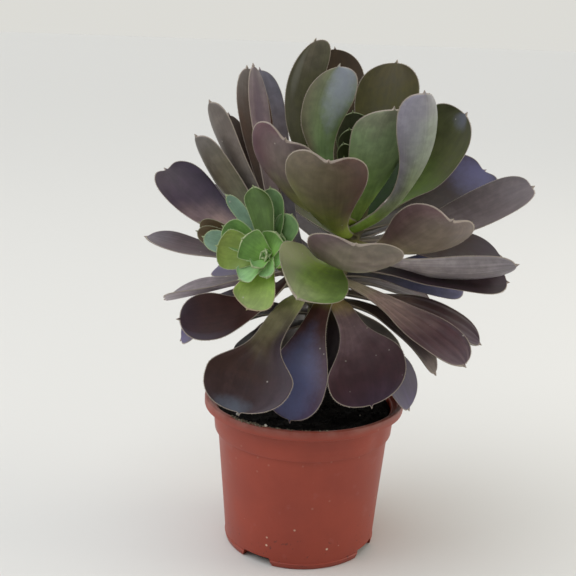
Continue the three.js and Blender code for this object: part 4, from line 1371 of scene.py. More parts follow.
def small_blade(
    root: np.ndarray, tip: np.ndarray, up: np.ndarray, bows: tuple, width: float, roll: float, cup: float
) -> Blade:
    """The form of one small leaf of the crown or of the side rosette."""
    return Blade(
        root, tip, bow_root=bows[0], bow_tip=bows[1], side=0.0, width=width, roll=roll, cup=cup,
        widening=1.0, up=up, size=SMALL_LEAF_SIZE,
    )


def spiral_tip(root: np.ndarray, axis: np.ndarray, angle: float, tilt: float, length: float) -> np.ndarray:
    """The tip of a leaf that opens from an axis at an angle round it.

    Args:
        root: the leaf's root.
        axis: the unit axis.
        angle: degrees round the axis.
        tilt: degrees away from it.
        length: the leaf's length.

    Returns:
        The tip.
    """
    start = np.array([1.0, 0.0, 0.0])
    start = unit(start - axis * start[0])
    outward = turned_about(start[None, :], axis[None, :], np.array([math.radians(angle)]))[0]
    tilt = math.radians(tilt)
    return root + length * (axis * math.cos(tilt) + outward * math.sin(tilt))


GREEN_MARGIN = "#a8b488"


@dataclass
class Crown:
    """The growing tip of the large rosette: a spiral of small leaves on the end of the stem.

    Lengths, widths, tilts and roots go from the outermost leaf to the innermost. The young leaves
    stand in front of the spiral, each with its tip and its width.
    """

    height: float = 20.0
    leaves: int = 10
    spiral_start: float = 70.0
    lengths: tuple = (41.0, 12.0)
    widths: tuple = (17.0, 6.0)
    tilts: tuple = (30.0, 3.0)
    bows: tuple = (-3.0, -6.0)
    roots: tuple = (3.0, 18.0)
    cup: float = 40.0
    gap: float = 0.3
    young: tuple = (((22, 14, 260), 24.0), ((20, 7, 251), 17.0), ((17, 4, 243), 12.0))
    young_facing: tuple = (0.0, -1.0, 0.2)
    young_tones: int = 3
    seed: int = 300
    young_seed: int = 340
    maker: BladeMaker = field(default_factory=lambda: BladeMaker(columns=17, petiole_rows=20, tip_rows=14))
    tones: tuple = (
        Tones("#6d8a2e", "#44602a", "#37502a", "#3c4a2e", margin="#8f9c6c"),
        Tones("#6d8c2e", "#4d7030", "#446430", "#465a32", margin="#95a870"),
        Tones("#84a83c", "#6f9a3a", "#5f8c38", "#587c36", margin=GREEN_MARGIN),
        Tones("#4e6626", "#46522a", "#4c5236", "#4e523e", margin="#9aa67c"),
    )

    def build(self, skin: LeafSkin, stem: Stem) -> bpy.types.Object:
        """Makes the crown.

        Args:
            skin: makes the materials.
            stem: the stem that carries the crown.

        Returns:
            The piece.
        """
        foot = stem.top + self.gap
        ends = stem.centre(np.array([foot, foot + self.height]))
        axis = unit(ends[1] - ends[0])
        parts = []
        for i in range(self.leaves):
            share = i / (self.leaves - 1)
            root = stem.centre(np.array([foot + between(self.roots, share)]))[0]
            angle = self.spiral_start + GOLDEN_ANGLE * i
            length = between(self.lengths, share)
            tip = spiral_tip(root, axis, angle, between(self.tilts, share), length)
            bows = tuple(bow * (1 - share) for bow in self.bows)
            blade = small_blade(root, tip, axis, bows, between(self.widths, share), 0.0, self.cup)
            age = min(int(share * self.young_tones), self.young_tones - 1)
            parts.append(self.maker.surface(blade, self.seed + i).finished(age))
        root = stem.centre(np.array([foot + self.roots[0]]))[0]
        facing = np.array(self.young_facing)
        for number, (place, width) in enumerate(self.young):
            blade = small_blade(root, np.array(place, float), facing, self.bows, width, 0.0, self.cup)
            parts.append(self.maker.surface(blade, self.young_seed + number).finished(self.young_tones))
        materials = [skin.material(f"crown_skin_{i}", tones) for i, tones in enumerate(self.tones)]
        surface = Surface.joined(parts)
        return make_piece(
            "crown_leaves", surface, materials, ("crown",), LEAF_SHARP_ANGLE
        )


@dataclass
class SideRosette:
    """The small green rosette on the end of the branch.

    Each leaf has its tip, the bow of its midrib near the root and near the tip, its width, roll and
    cup, and the number of its tones.
    """

    core_length: float = 13.0
    core_radius: float = 4.4
    core_taper: float = 0.62
    core_sides: int = 24
    core_rows: int = 6
    core_along: float = 0.1
    core_rim: float = 9.0
    gap: float = 0.3
    root_shares: tuple = (0.25, 0.8)
    leaves: tuple = (
        ((-32, -38, 223), (1, -7), 17, 0, 35, 0),
        ((-23, -35, 222), (2, -7), 17, 0, 35, 1),
        ((-11, -42, 209), (2, -5), 17, 0, 35, 1),
        ((-19, -46, 200), (4, -3), 16, 0, 35, 2),
        ((-37, -46, 196), (5, -3), 20, 0, 35, 2),
        ((-51, -38, 190), (3, -4), 23, -10, 30, 3),
        ((-48, -34, 200), (3, -4), 17, 0, 35, 2),
        ((-59, -30, 193), (2, -4), 13, 0, 35, 4),
        ((-63, -25, 195), (1, -4), 12, 0, 35, 5),
        ((-62, -20, 199), (0, -4), 11, 0, 35, 5),
        ((-38, -47, 174), (4, -3), 15, 10, 40, 6),
        ((-33, -55, 160), (5, -5), 25, -12, 30, 7),
        ((-16, -42, 198), (3, -3), 10, 0, 35, 2),
        ((-23, -53, 177), (3, -2), 11, 0, 40, 6),
        ((-31, -51, 182), (3, -2), 10, 0, 40, 8),
        ((-15, -50, 185), (3, -2), 10, 0, 40, 8),
        ((-47, -28, 216), (0, -5), 8, 25, 35, 4),
    )
    bud_leaves: int = 6
    bud_length: float = 10.0
    bud_width: float = 8.0
    bud_tilt: float = 24.0
    bud_cup: float = 40.0
    bud_sink: float = 1.0
    bud_bows: tuple = (1.5, -1.0)
    bud_tones: int = 8
    seed: int = 500
    bud_seed: int = 560
    maker: BladeMaker = field(default_factory=lambda: BladeMaker(
        columns=21, petiole_rows=24, tip_rows=18, fringe_step=0.9, fringe_length=(0.3, 0.8),
    ))
    bud_maker: BladeMaker = field(default_factory=lambda: BladeMaker(
        columns=17, petiole_rows=16, tip_rows=14, wave_height=0.2, fringe_step=0.7,
        fringe_length=(0.15, 0.3),
    ))
    tones: tuple = (
        Tones("#7c9c40", "#5c7a38", "#56703a", "#64804a", "#40581f", 1, margin=GREEN_MARGIN),
        Tones("#749644", "#608244", "#648650", "#7c9c6e", margin=GREEN_MARGIN),
        Tones("#88aa4c", "#6c9642", "#689046", "#6c9452", margin=GREEN_MARGIN),
        Tones("#94ac54", "#7e9a44", "#809646", "#808e44", margin=GREEN_MARGIN),
        Tones("#7a985c", "#7a9a70", "#7a9880", "#84a08c", margin=GREEN_MARGIN),
        Tones("#5a5a30", "#54482a", "#4e3e22", "#5a4a34", margin="#8c8c70"),
        Tones("#98c458", "#8ab868", "#8cb878", "#90b488", margin=GREEN_MARGIN),
        Tones("#8cb03c", "#88ac40", "#8ca450", "#8c9a64", margin="#b09c84"),
        Tones("#a0cc60", "#86bc58", "#84b468", "#88b080", margin=GREEN_MARGIN),
    )

    def build(self, skin: LeafSkin, branch: Axis) -> bpy.types.Object:
        """Makes the side rosette.

        Args:
            skin: makes the materials.
            branch: the branch that carries the rosette.

        Returns:
            The piece.
        """
        axis = unit(branch.points[-1] - branch.points[-2])
        foot = branch.points[-1] + axis * self.gap
        parts = []
        for number, (place, bows, width, roll, cup, tones) in enumerate(self.leaves):
            tip = np.array(place, float)
            share = float(np.clip(np.dot(unit(tip - foot), axis), *self.root_shares))
            root = foot + axis * self.core_length * share
            blade = small_blade(root, tip, axis, bows, width, roll, cup)
            parts.append(self.maker.surface(blade, self.seed + number).finished(tones))
        bud = foot + axis * (self.core_length - self.bud_sink)
        for i in range(self.bud_leaves):
            tip = spiral_tip(bud, axis, GOLDEN_ANGLE * i, self.bud_tilt, self.bud_length - i)
            blade = small_blade(bud, tip, axis, self.bud_bows, self.bud_width, 0.0, self.bud_cup)
            parts.append(self.bud_maker.surface(blade, self.bud_seed + i).finished(self.bud_tones))
        parts.append(self._core(foot, axis).finished(self.bud_tones))
        materials = [skin.material(f"side_rosette_skin_{i}", tones) for i, tones in enumerate(self.tones)]
        surface = Surface.joined(parts)
        return make_piece(
            "side_rosette_leaves", surface, materials, ("side_rosette",), LEAF_SHARP_ANGLE
        )

    def _core(self, foot: np.ndarray, axis: np.ndarray) -> Surface:
        """The short cone that the rosette's leaves grow from.

        Args:
            foot: the middle of its wide end.
            axis: its direction.

        Returns:
            Its surface.
        """
        side = unit(np.cross(axis, UP))
        other = np.cross(axis, side)
        sides, rows = self.core_sides, self.core_rows
        points = []
        for i in range(rows):
            share = i / (rows - 1)
            radius = self.core_radius * (1 - self.core_taper * share)
            for turn in turns(sides):
                ring = side * math.cos(turn) + other * math.sin(turn)
                points.append(foot + axis * self.core_length * share + ring * radius)
        faces = ring_faces(rows, sides)
        faces.append(tuple(reversed(range(sides))))
        faces.append(tuple((rows - 1) * sides + j for j in range(sides)))
        ones = np.ones(len(points))
        values = {
            "along": ones * self.core_along, "across": ones * 0.0, "face": ones, "rim": ones * self.core_rim
        }
        return Surface(np.array(points), faces, values)


def rounded(radius: float, height: float, steps: tuple) -> list[tuple[float, float]]:
    """The corners of a rounded edge, from their steps out and up from the edge's own corner."""
    return [(radius + out, height + up) for out, up in steps]


@dataclass
class Pot:
    """The moulded nursery pot, in millimetres and degrees.

    Edges are steps out and up from their own corner. Waves are a depth, a number round the pot and
    a start in radians. A reach is how far round and up the dent spreads.
    """

    height: float = 92.0
    lip_radius: float = 59.5
    lip_inner_radius: float = 56.5
    lip_height: float = 6.0
    band_radius: float = 54.3
    band_foot_radius: float = 53.2
    band_height: float = 15.0
    wall_top_radius: float = 51.2
    wall_rows: int = 14
    base_radius: float = 45.6
    wall: float = 1.6
    floor: float = 2.4
    ledge_drop: float = 3.8
    inner_slope: float = 0.6
    mouth_rise: float = 3.0
    foot_bead: float = 0.35
    foot_bead_height: float = 3.6
    foot_bead_edge: float = 0.4
    base_edge: tuple = ((-0.6, 0.0), (0.0, 0.6))
    wall_edge: tuple = ((-0.05, -0.5), (0.35, 0.0))
    band_foot_edge: tuple = ((-0.3, 0.36), (0.0, 0.96))
    band_edge: tuple = ((-0.1, -0.8), (0.5, -0.1))
    lip_foot_edge: tuple = ((-0.9, 0.2), (-0.2, 0.6), (0.0, 1.3))
    lip_edge: tuple = ((0.0, -1.3), (-0.35, -0.4), (-1.1, 0.0))
    floor_edge: tuple = ((-1.0, 0.0), (0.0, 1.0))
    ledge_edge: tuple = ((0.0, -1.3), (0.15, -0.4), (0.6, 0.0))
    ledge_corner: tuple = ((-0.6, 0.0), (-0.1, 0.5))
    mouth_edge: tuple = ((0.0, -0.9), (0.3, -0.25), (0.9, 0.02))
    notch_angles: tuple = (-123.5, -28.5, 51.5, 151.5)
    notch_width: float = 21.0
    notch_height: float = 5.0
    notch_depth: float = 9.0
    notch_foot_gain: float = 2.1
    notch_top_loss: float = 1.65
    drain_holes: int = 4
    drain_radius: float = 4.0
    drain_circle: float = 24.0
    drain_sides: int = 48
    drain_depth: float = 9.6
    sides: int = 240
    bevel: float = 0.35
    bevel_segments: int = 2
    bevel_angle: float = 50.0
    sharp_angle: float = 34.0
    waves: tuple = ((0.35, 2, 0.6), (0.15, 5, 1.0))
    wave_from: float = 20.0
    wave_span: float = 70.0
    dent: float = 0.9
    dent_angle: float = -38.0
    dent_height: float = 76.0
    dent_reach: tuple = (7.0, 9.0)
    lift: float = 0.5
    lift_from: float = 60.0
    lift_span: float = 30.0
    lift_reach: float = 45.0
    still_radius: float = 30.0
    still_span: float = 12.0

    def _band(self) -> tuple[float, float]:
        """The heights of the band's foot and top."""
        top = self.height - self.lip_height
        return top - self.band_height, top

    def _outline(self) -> list[tuple[float, float]]:
        """The outer outline from the middle of the base to the middle of the top.

        Returns:
            Its corners, each a radius and a height.
        """
        band_foot, band_top = self._band()
        slope = (self.wall_top_radius - self.base_radius) / band_foot
        bead = self.foot_bead_height
        edge = bead - self.foot_bead_edge
        middle = between((self.band_foot_radius, self.band_radius), 0.5), between(self._band(), 0.5)
        return [
            (0, 0),
            *rounded(self.base_radius, 0.0, self.base_edge),
            (self.base_radius + self.foot_bead + slope * edge, edge),
            *[(self.base_radius + slope * z, z) for z in np.linspace(bead, band_foot, self.wall_rows)[:-1]],
            *rounded(self.wall_top_radius, band_foot, self.wall_edge),
            *rounded(self.band_foot_radius, band_foot, self.band_foot_edge),
            middle,
            *rounded(self.band_radius, band_top, self.band_edge),
            *rounded(self.lip_radius, band_top, self.lip_foot_edge),
            *rounded(self.lip_radius, self.height, self.lip_edge),
            (0, self.height),
        ]

    def _cavity(self) -> list[tuple[float, float]]:
        """The cavity's outline, from the middle of the floor to above the lip.

        Returns:
            Its corners, each a radius and a height.
        """
        band_foot = self._band()[0]
        ledge = self.height - self.ledge_drop
        top = self.height + self.mouth_rise
        return [
            (0, self.floor),
            *rounded(self.base_radius - self.wall, self.floor, self.floor_edge),
            (self.wall_top_radius - self.wall, band_foot - self.inner_slope),
            (self.band_foot_radius - self.wall, band_foot + self.inner_slope),
            *rounded(self.band_radius - self.wall, ledge, self.ledge_edge),
            *rounded(self.lip_inner_radius, ledge, self.ledge_corner),
            *rounded(self.lip_inner_radius, self.height, self.mouth_edge),
            (self.lip_inner_radius + self.mouth_edge[-1][0], top),
            (0, top),
        ]

    def _turned(self, name: str, outline: list[tuple[float, float]]) -> bpy.types.Object:
        """A closed body of revolution from an outline that starts and ends on the axis.

        Args:
            name: the body's name.
            outline: its corners, each a radius and a height.

        Returns:
            The body.
        """
        body = bmesh.new()
        rings = []
        for radius, z in outline[1:-1]:
            places = [place_round(radius, turn) for turn in turns(self.sides)]
            rings.append([body.verts.new((x * MM, y * MM, z * MM)) for x, y in places])
        foot, top = [body.verts.new((0, 0, z * MM)) for _, z in (outline[0], outline[-1])]
        for j in range(self.sides):
            k = (j + 1) % self.sides
            body.faces.new((foot, rings[0][k], rings[0][j]))
            body.faces.new((top, rings[-1][j], rings[-1][k]))
            for low, high in zip(rings[:-1], rings[1:], strict=True):
                body.faces.new((low[j], low[k], high[k], high[j]))
        return solid_of(body, name)

    def _notch_block(self, angle: float, grow: float) -> bpy.types.Object:
        """A block as large as a foot notch, or as the moulded wall round it where grow is above 0.

        Args:
            angle: where it stands round the pot.
            grow: how much larger it is on every side.

        Returns:
            The block.
        """
        near = self.base_radius - self.notch_depth - grow
        low, high = -self.notch_height - grow, self.notch_height + grow
        wide = self.notch_width / 2 + grow
        foot, top = wide + self.notch_foot_gain, wide - self.notch_top_loss
        corners = [(-foot, low), (foot, low), (top, high), (-top, high)]
        body = bmesh.new()
        ends = [
            [body.verts.new((x * MM, y * MM, z * MM)) for y, z in corners] for x in (near, self.lip_radius)
        ]
        body.faces.new(ends[0][::-1])
        body.faces.new(ends[1])
        for j in range(len(corners)):
            k = (j + 1) % len(corners)
            body.faces.new((ends[0][j], ends[0][k], ends[1][k], ends[1][j]))
        bmesh.ops.recalc_face_normals(body, faces=body.faces)
        body.transform(Matrix.Rotation(math.radians(angle), 4, "Z"))
        return solid_of(body, "notch")

    def _drain(self, turn: float) -> bpy.types.Object:
        """A round plug where a drain hole goes."""
        body = bmesh.new()
        radius = self.drain_radius * MM
        bmesh.ops.create_cone(
            body, cap_ends=True, segments=self.drain_sides, radius1=radius, radius2=radius,
            depth=self.drain_depth * MM,
        )
        body.transform(Matrix.Translation((*place_round(self.drain_circle * MM, turn), 0)))
        return solid_of(body, "drain")

    @staticmethod
    def _cut(solid: bpy.types.Object, tool: bpy.types.Object) -> None:
        """Takes a tool out of a solid and removes the tool."""
        apply_modifier(solid, "BOOLEAN", operation="DIFFERENCE", solver="EXACT", object=tool)
        bpy.data.objects.remove(tool)

    def _soften(self, solid: bpy.types.Object) -> None:
        """Rounds the cut edges a little."""
        apply_modifier(
            solid, "BEVEL", width=self.bevel * MM, segments=self.bevel_segments, limit_method="ANGLE",
            angle_limit=math.radians(self.bevel_angle), use_clamp_overlap=True,
        )

    def bend(self, points: np.ndarray) -> np.ndarray:
        """Gives the thin wall the slight waves and the dent of a used pot.

        Args:
            points: points of the pot in millimetres.

        Returns:
            The same points, moved with the wall.
        """
        x, y, z = points.T
        radius = np.hypot(x, y)
        angle = np.arctan2(y, x)
        rise = smoothstep((z - self.wave_from) / self.wave_span)
        push = sum(depth * rise * np.cos(count * angle + start) for depth, count, start in self.waves)
        round_dent = ((np.degrees(angle) - self.dent_angle + 180) % 360 - 180) / self.dent_reach[0]
        up_dent = (z - self.dent_height) / self.dent_reach[1]
        push = push - self.dent * np.exp(-(round_dent**2) - up_dent**2)
        from_left = (np.degrees(angle) + 180) % 360 / self.lift_reach
        lift = self.lift * smoothstep((z - self.lift_from) / self.lift_span) * np.exp(-(from_left**2))
        share = smoothstep((radius - self.still_radius) / self.still_span)
        share = 1 + push * share / np.maximum(radius, self.still_radius)
        return np.stack([x * share, y * share, z + lift], axis=1)

    def build(self, material: bpy.types.Material) -> bpy.types.Object:
        """Makes the pot.

        Args:
            material: the pot's finish.

        Returns:
            The piece.
        """
        pot = self._turned("pot_wall", self._outline())
        cavity = self._turned("pot_cavity", self._cavity())
        for angle in self.notch_angles:
            self._cut(cavity, self._notch_block(angle, self.wall))
        self._cut(pot, cavity)
        for angle in self.notch_angles:
            self._cut(pot, self._notch_block(angle, 0.0))
        for turn in turns(self.drain_holes):
            self._cut(pot, self._drain(turn))
        self._soften(pot)
        mesh = pot.data
        points = np.empty(len(mesh.vertices) * 3)
        mesh.vertices.foreach_get("co", points)
        moved = self.bend(points.reshape(-1, 3) / MM)
        faces = [tuple(p.vertices) for p in mesh.polygons]
        bpy.data.objects.remove(pot)
        surface = Surface(moved, faces)
        return make_piece("nursery_pot", surface, [material], ("pot",), self.sharp_angle)


@dataclass(frozen=True)
class Scatter:
    """Grains strewn over the peat.

    The area is the first and the last share of the round bed that they may lie on. The higher the
    power, the more of them are small. Rise is the share of its radius that a grain lies up.
    """

    count: int
    area: tuple[float, float]
    sizes: tuple[float, float]
    power: int
    rise: float


@dataclass(frozen=True)
class CrumbStrip:
    """A strip of dry crumbs that lie on a ledge of the pot."""

    count: int
    angles: tuple[float, float]
    reaches: tuple[float, float]
    height: float
    sizes: tuple[float, float]
    power: int = 2
    rise: float = 0.3


@dataclass
class Lumps:
    """Rough grains as they are placed one by one: the middle and the radius of each, in millimetres."""

    places: list[tuple[float, float, float]] = field(default_factory=list)
    radii: list[float] = field(default_factory=list)
    stretch: tuple = (0.65, 1.1)
    dents: float = 0.16

    def add(self, x: float, y: float, z: float, radius: float) -> None:
        """Places one grain."""
        self.places.append((x, y, z))
        self.radii.append(radius)

    def surface(self, rng: np.random.Generator, level: int) -> Surface:
        """All the grains in one surface.

        Args:
            rng: random numbers for their shapes.
            level: how finely each is divided.

        Returns:
            Their surface.
        """
        ball = bmesh.new()
        bmesh.ops.create_icosphere(ball, subdivisions=level, radius=1.0)
        base = np.array([v.co[:] for v in ball.verts])
        faces = [tuple(v.index for v in f.verts) for f in ball.faces]
        ball.free()
        parts = []
        for place, radius in zip(np.array(self.places), self.radii, strict=True):
            shape = base * rng.uniform(*self.stretch, 3)
            shape = shape * (1 + rng.uniform(-self.dents, self.dents, (len(base), 1)))
            turn = np.linalg.qr(rng.normal(size=(3, 3)))[0]
            turn = turn * np.sign(np.linalg.det(turn))
            parts.append(Surface(place + shape @ turn * radius, faces))
        return Surface.joined(parts)


@dataclass
class Peat:
    """The peat that fills the pot, with its loose crumbs and grains of perlite, in millimetres.

    Waves of the bed are a direction, a rate and a start. Its lumps are a fineness, a place in the
    noise and a height. The lip's grain is an angle, a radius, a height and its size.
    """

    level: float = 86.0
    reach: float = 51.4
    side_top: float = 82.0
    floor: float = 2.9
    base_radius: float = 43.5
    rings: int = 70
    sides: int = 220
    wave_height: float = 0.55
    waves: tuple = ((1, 0, 0.19, 1.2), (0, 1, 0.27, -0.4), (1, -1, 0.33, 0.0))
    lumps: tuple = ((0.35, 3.0, 0.9), (1.1, 8.0, 0.6))
    stem_x: float = 2.0
    stem_room: float = 9.0
    crumbs: Scatter = Scatter(900, (0.02, 0.98), (0.35, 1.5), 3, 0.3)
    strips: tuple = (
        CrumbStrip(150, (-175.0, -80.0), (53.4, 56.0), 88.2, (0.2, 0.8)),
        CrumbStrip(70, (-136.0, -112.0), (56.6, 58.4), 92.1, (0.35, 1.1)),
        CrumbStrip(40, (-112.0, -76.0), (56.6, 58.2), 92.1, (0.2, 0.6)),
    )
    perlite: Scatter = Scatter(6, (0.1, 0.97), (0.4, 1.3), 2, 0.5)
    lip_grain: tuple = (-112.0, 57.2, 92.7, 1.1)
    seed: int = 7

    def surface_height(self, x: float, y: float) -> float:
        """How high the peat is at a place."""
        wave = sum(math.sin(rate * (a * x + b * y) + start) for a, b, rate, start in self.waves)
        height = self.level + self.wave_height * wave
        for fineness, layer, rise in self.lumps:
            height += noise.noise(Vector((x * fineness, y * fineness, layer))) * rise
        return height

    def _body(self) -> Surface:
        """The peat's body with its lumpy top.

        Returns:
            Its surface.
        """
        points = []
        for radius, z in ((self.base_radius, self.floor), (self.reach, self.side_top)):
            points += [(*place_round(radius, turn), z) for turn in turns(self.sides)]
        for i in range(self.rings):
            for turn in turns(self.sides):
                x, y = place_round(self.reach * (1 - i / self.rings), turn)
                points.append((x, y, self.surface_height(x, y)))
        points.append((0.0, 0.0, self.surface_height(0.0, 0.0)))
        points.append((0.0, 0.0, self.floor))
        faces = ring_faces(self.rings + 2, self.sides)
        top = len(points) - 2
        last = top - self.sides
        for j in range(self.sides):
            k = (j + 1) % self.sides
            faces.append((last + j, last + k, top))
            faces.append((k, j, top + 1))
        return Surface(np.array(points), faces)

    def _strewn(self, scatter: Scatter, rng: np.random.Generator) -> Lumps:
        """Places grains over the peat, clear of the stem.

        Args:
            scatter: how many there are, and how they lie.
            rng: the peat's random numbers.

        Returns:
            The grains.
        """
        lumps = Lumps()
        while len(lumps.places) < scatter.count:
            radius = self.reach * math.sqrt(rng.uniform(*scatter.area))
            x, y = place_round(radius, rng.uniform(0, math.tau))
            if math.hypot(x - self.stem_x, y) < self.stem_room:
                continue
            size = between(scatter.sizes, rng.uniform() ** scatter.power)
            lumps.add(x, y, self.surface_height(x, y) + scatter.rise * size, size)
        return lumps

    def _ledge_crumbs(self, rng: np.random.Generator) -> Lumps:
        """Places the dry crumbs on the pot's ledge and lip."""
        lumps = Lumps()
        for strip in self.strips:
            for _ in range(strip.count):
                turn = math.radians(rng.uniform(*strip.angles))
                x, y = place_round(rng.uniform(*strip.reaches), turn)
                size = between(strip.sizes, rng.uniform() ** strip.power)
                lumps.add(x, y, strip.height + strip.rise * size, size)
        return lumps

    def build(self, peat: bpy.types.Material, crumb: bpy.types.Material, perlite: bpy.types.Material) -> None:
        """Makes the peat, its crumbs and the perlite.

        Args:
            peat: the peat's material.
            crumb: the lighter, drier crumbs' material.
            perlite: the perlite's material.
        """
        make_piece("peat_bed", self._body(), [peat], ("soil",))
        rng = np.random.default_rng(self.seed)
        make_piece("peat_crumbs", self._strewn(self.crumbs, rng).surface(rng, 1), [peat])
        make_piece("ledge_crumbs", self._ledge_crumbs(rng).surface(rng, 1), [crumb])
        grains = self._strewn(self.perlite, rng)
        angle, radius, height, size = self.lip_grain
        grains.add(*place_round(radius, math.radians(angle)), height, size)
        make_piece("perlite_grains", grains.surface(rng, 2), [perlite])


@dataclass(frozen=True)
class Grain:
    """A material's fine relief: a noise, its height in metres and the share of it that shows."""

    scale: float
    detail: float
    roughness: float
    height: float
    strength: float

    def apply(self, graph: Graph, shader: bpy.types.Node) -> None:
        """Gives a shader this relief."""
        relief = graph.noise(graph.place(), self.scale, self.detail, self.roughness)
        add_bump(graph, shader, relief, self.height, self.strength)


@dataclass(frozen=True)
class PlasticFinish:
    """Terracotta-coloured moulded plastic with dust on its lip, its lip darker towards the top, and scuffs on
    its wall.

    Clouds are a scale and the noise's span, dots are a scale and a share, other spans are heights
    in metres, and shares say how strong each layer is.
    """

    body: str = "#90341f"
    warm: str = "#9b3d28"
    dust: str = "#a48479"
    scuff: str = "#a0564c"
    nick_and_lip_dark: str = "#5a241e"
    grit: str = "#d8c0a8"
    body_clouds: tuple = (28.0, 0.35, 0.7)
    dust_clouds: tuple = (110.0, 0.2, 0.8)
    scuff_clouds: tuple = (90.0, 0.6, 0.75)
    nick_clouds: tuple = (330.0, 0.63, 0.67)
    nick_dots: tuple = (240.0, 0.012)
    grit_dots: tuple = (310.0, 0.035)
    lip_span: tuple = (0.0865, 0.0925)
    foot_span: tuple = (0.012, 0.03)
    grit_span: tuple = (0.01, 0.045)
    grit_least: float = 0.1
    lip_dark_share: float = 0.45
    dust_share: float = 0.4
    scuff_share: float = 0.35
    dot_share: float = 0.6
    nick_share: float = 0.75
    roughness: tuple = (0.42, 0.52)
    grain: Grain = Grain(900.0, 3.0, 0.5, 0.00008, 0.4)

    def material(self, effects: Effects) -> bpy.types.Material:
        """Makes the pot's material.

        Args:
            effects: the shared effects.

        Returns:
            The material.
        """
        material, graph, shader = new_material("terracotta_plastic")
        height = graph.height()
        cloud = effects.clouds(graph, *self.body_clouds)
        lip = graph.ramp(height, *self.lip_span)
        dust = effects.clouds(graph, *self.dust_clouds)
        scuffs = effects.clouds(graph, *self.scuff_clouds)
        dots = effects.dots(graph, *self.nick_dots)
        nicks = effects.clouds(graph, *self.nick_clouds)
        grit = effects.dots(graph, *self.grit_dots)
        layers = (
            (self.warm, cloud),
            # Darkens the lip towards its top, in the colour of the nicks.
            (self.nick_and_lip_dark, graph.product(lip, self.lip_dark_share)),
            (self.dust, graph.product(lip, dust, self.dust_share)),
            (self.scuff, graph.product(scuffs, self.scuff_share)),
            (self.nick_and_lip_dark, graph.product(dots, self.dot_share)),
            (self.nick_and_lip_dark, graph.product(nicks, graph.fall(height, *self.foot_span), self.nick_share)),
            (self.grit, graph.product(grit, graph.ramp(height, *self.grit_span, 1.0, self.grit_least))),
        )
        color = linear(self.body)
        for code, mask in layers:
            color = graph.tint(color, mask, code)
        graph.feed(shader.inputs["Base Color"], color)
        graph.feed(shader.inputs["Roughness"], graph.ramp(cloud, 0.0, 1.0, *self.roughness))
        self.grain.apply(graph, shader)
        return material


@dataclass(frozen=True)
class GrainFinish:
    """Peat, its drier crumbs, or perlite."""

    name: str
    dark: str
    light: str
    roughness: float = 0.95
    specular_level: float = 0.2
    clouds: tuple = (420.0, 0.35, 0.75)
    grain: Grain = Grain(1500.0, 4.0, 0.7, 0.0004, 0.8)

    def material(self, effects: Effects) -> bpy.types.Material:
        """Makes the material."""
        material, graph, shader = new_material(self.name)
        color = graph.tint(linear(self.dark), effects.clouds(graph, *self.clouds), self.light)
        graph.feed(shader.inputs["Base Color"], color)
        shader.inputs["Roughness"].default_value = self.roughness
        shader.inputs["Specular IOR Level"].default_value = self.specular_level
        self.grain.apply(graph, shader)
        return material


@dataclass(frozen=True)
class BarkFinish:
    """Greenish brown bark whose leaf scars are paler on their raised rims."""

    low: str = "#4c4630"
    high: str = "#7a7450"
    stain: str = "#39331f"
    relief_span: tuple = (-0.3, 0.5)
    stain_clouds: tuple = (240.0, 0.4, 0.75)
    stain_share: float = 0.6
    roughness: float = 0.75
    grain: Grain = Grain(700.0, 5.0, 0.65, 0.0004, 0.6)

    def material(self, effects: Effects) -> bpy.types.Material:
        """Makes the stem's material."""
        material, graph, shader = new_material("stem_bark")
        raised = graph.ramp(graph.value_at("relief"), *self.relief_span)
        stained = graph.product(effects.clouds(graph, *self.stain_clouds), self.stain_share)
        color = graph.tint(graph.tint(linear(self.low), raised, self.high), stained, self.stain)
        graph.feed(shader.inputs["Base Color"], color)
        shader.inputs["Roughness"].default_value = self.roughness
        self.grain.apply(graph, shader)
        return material


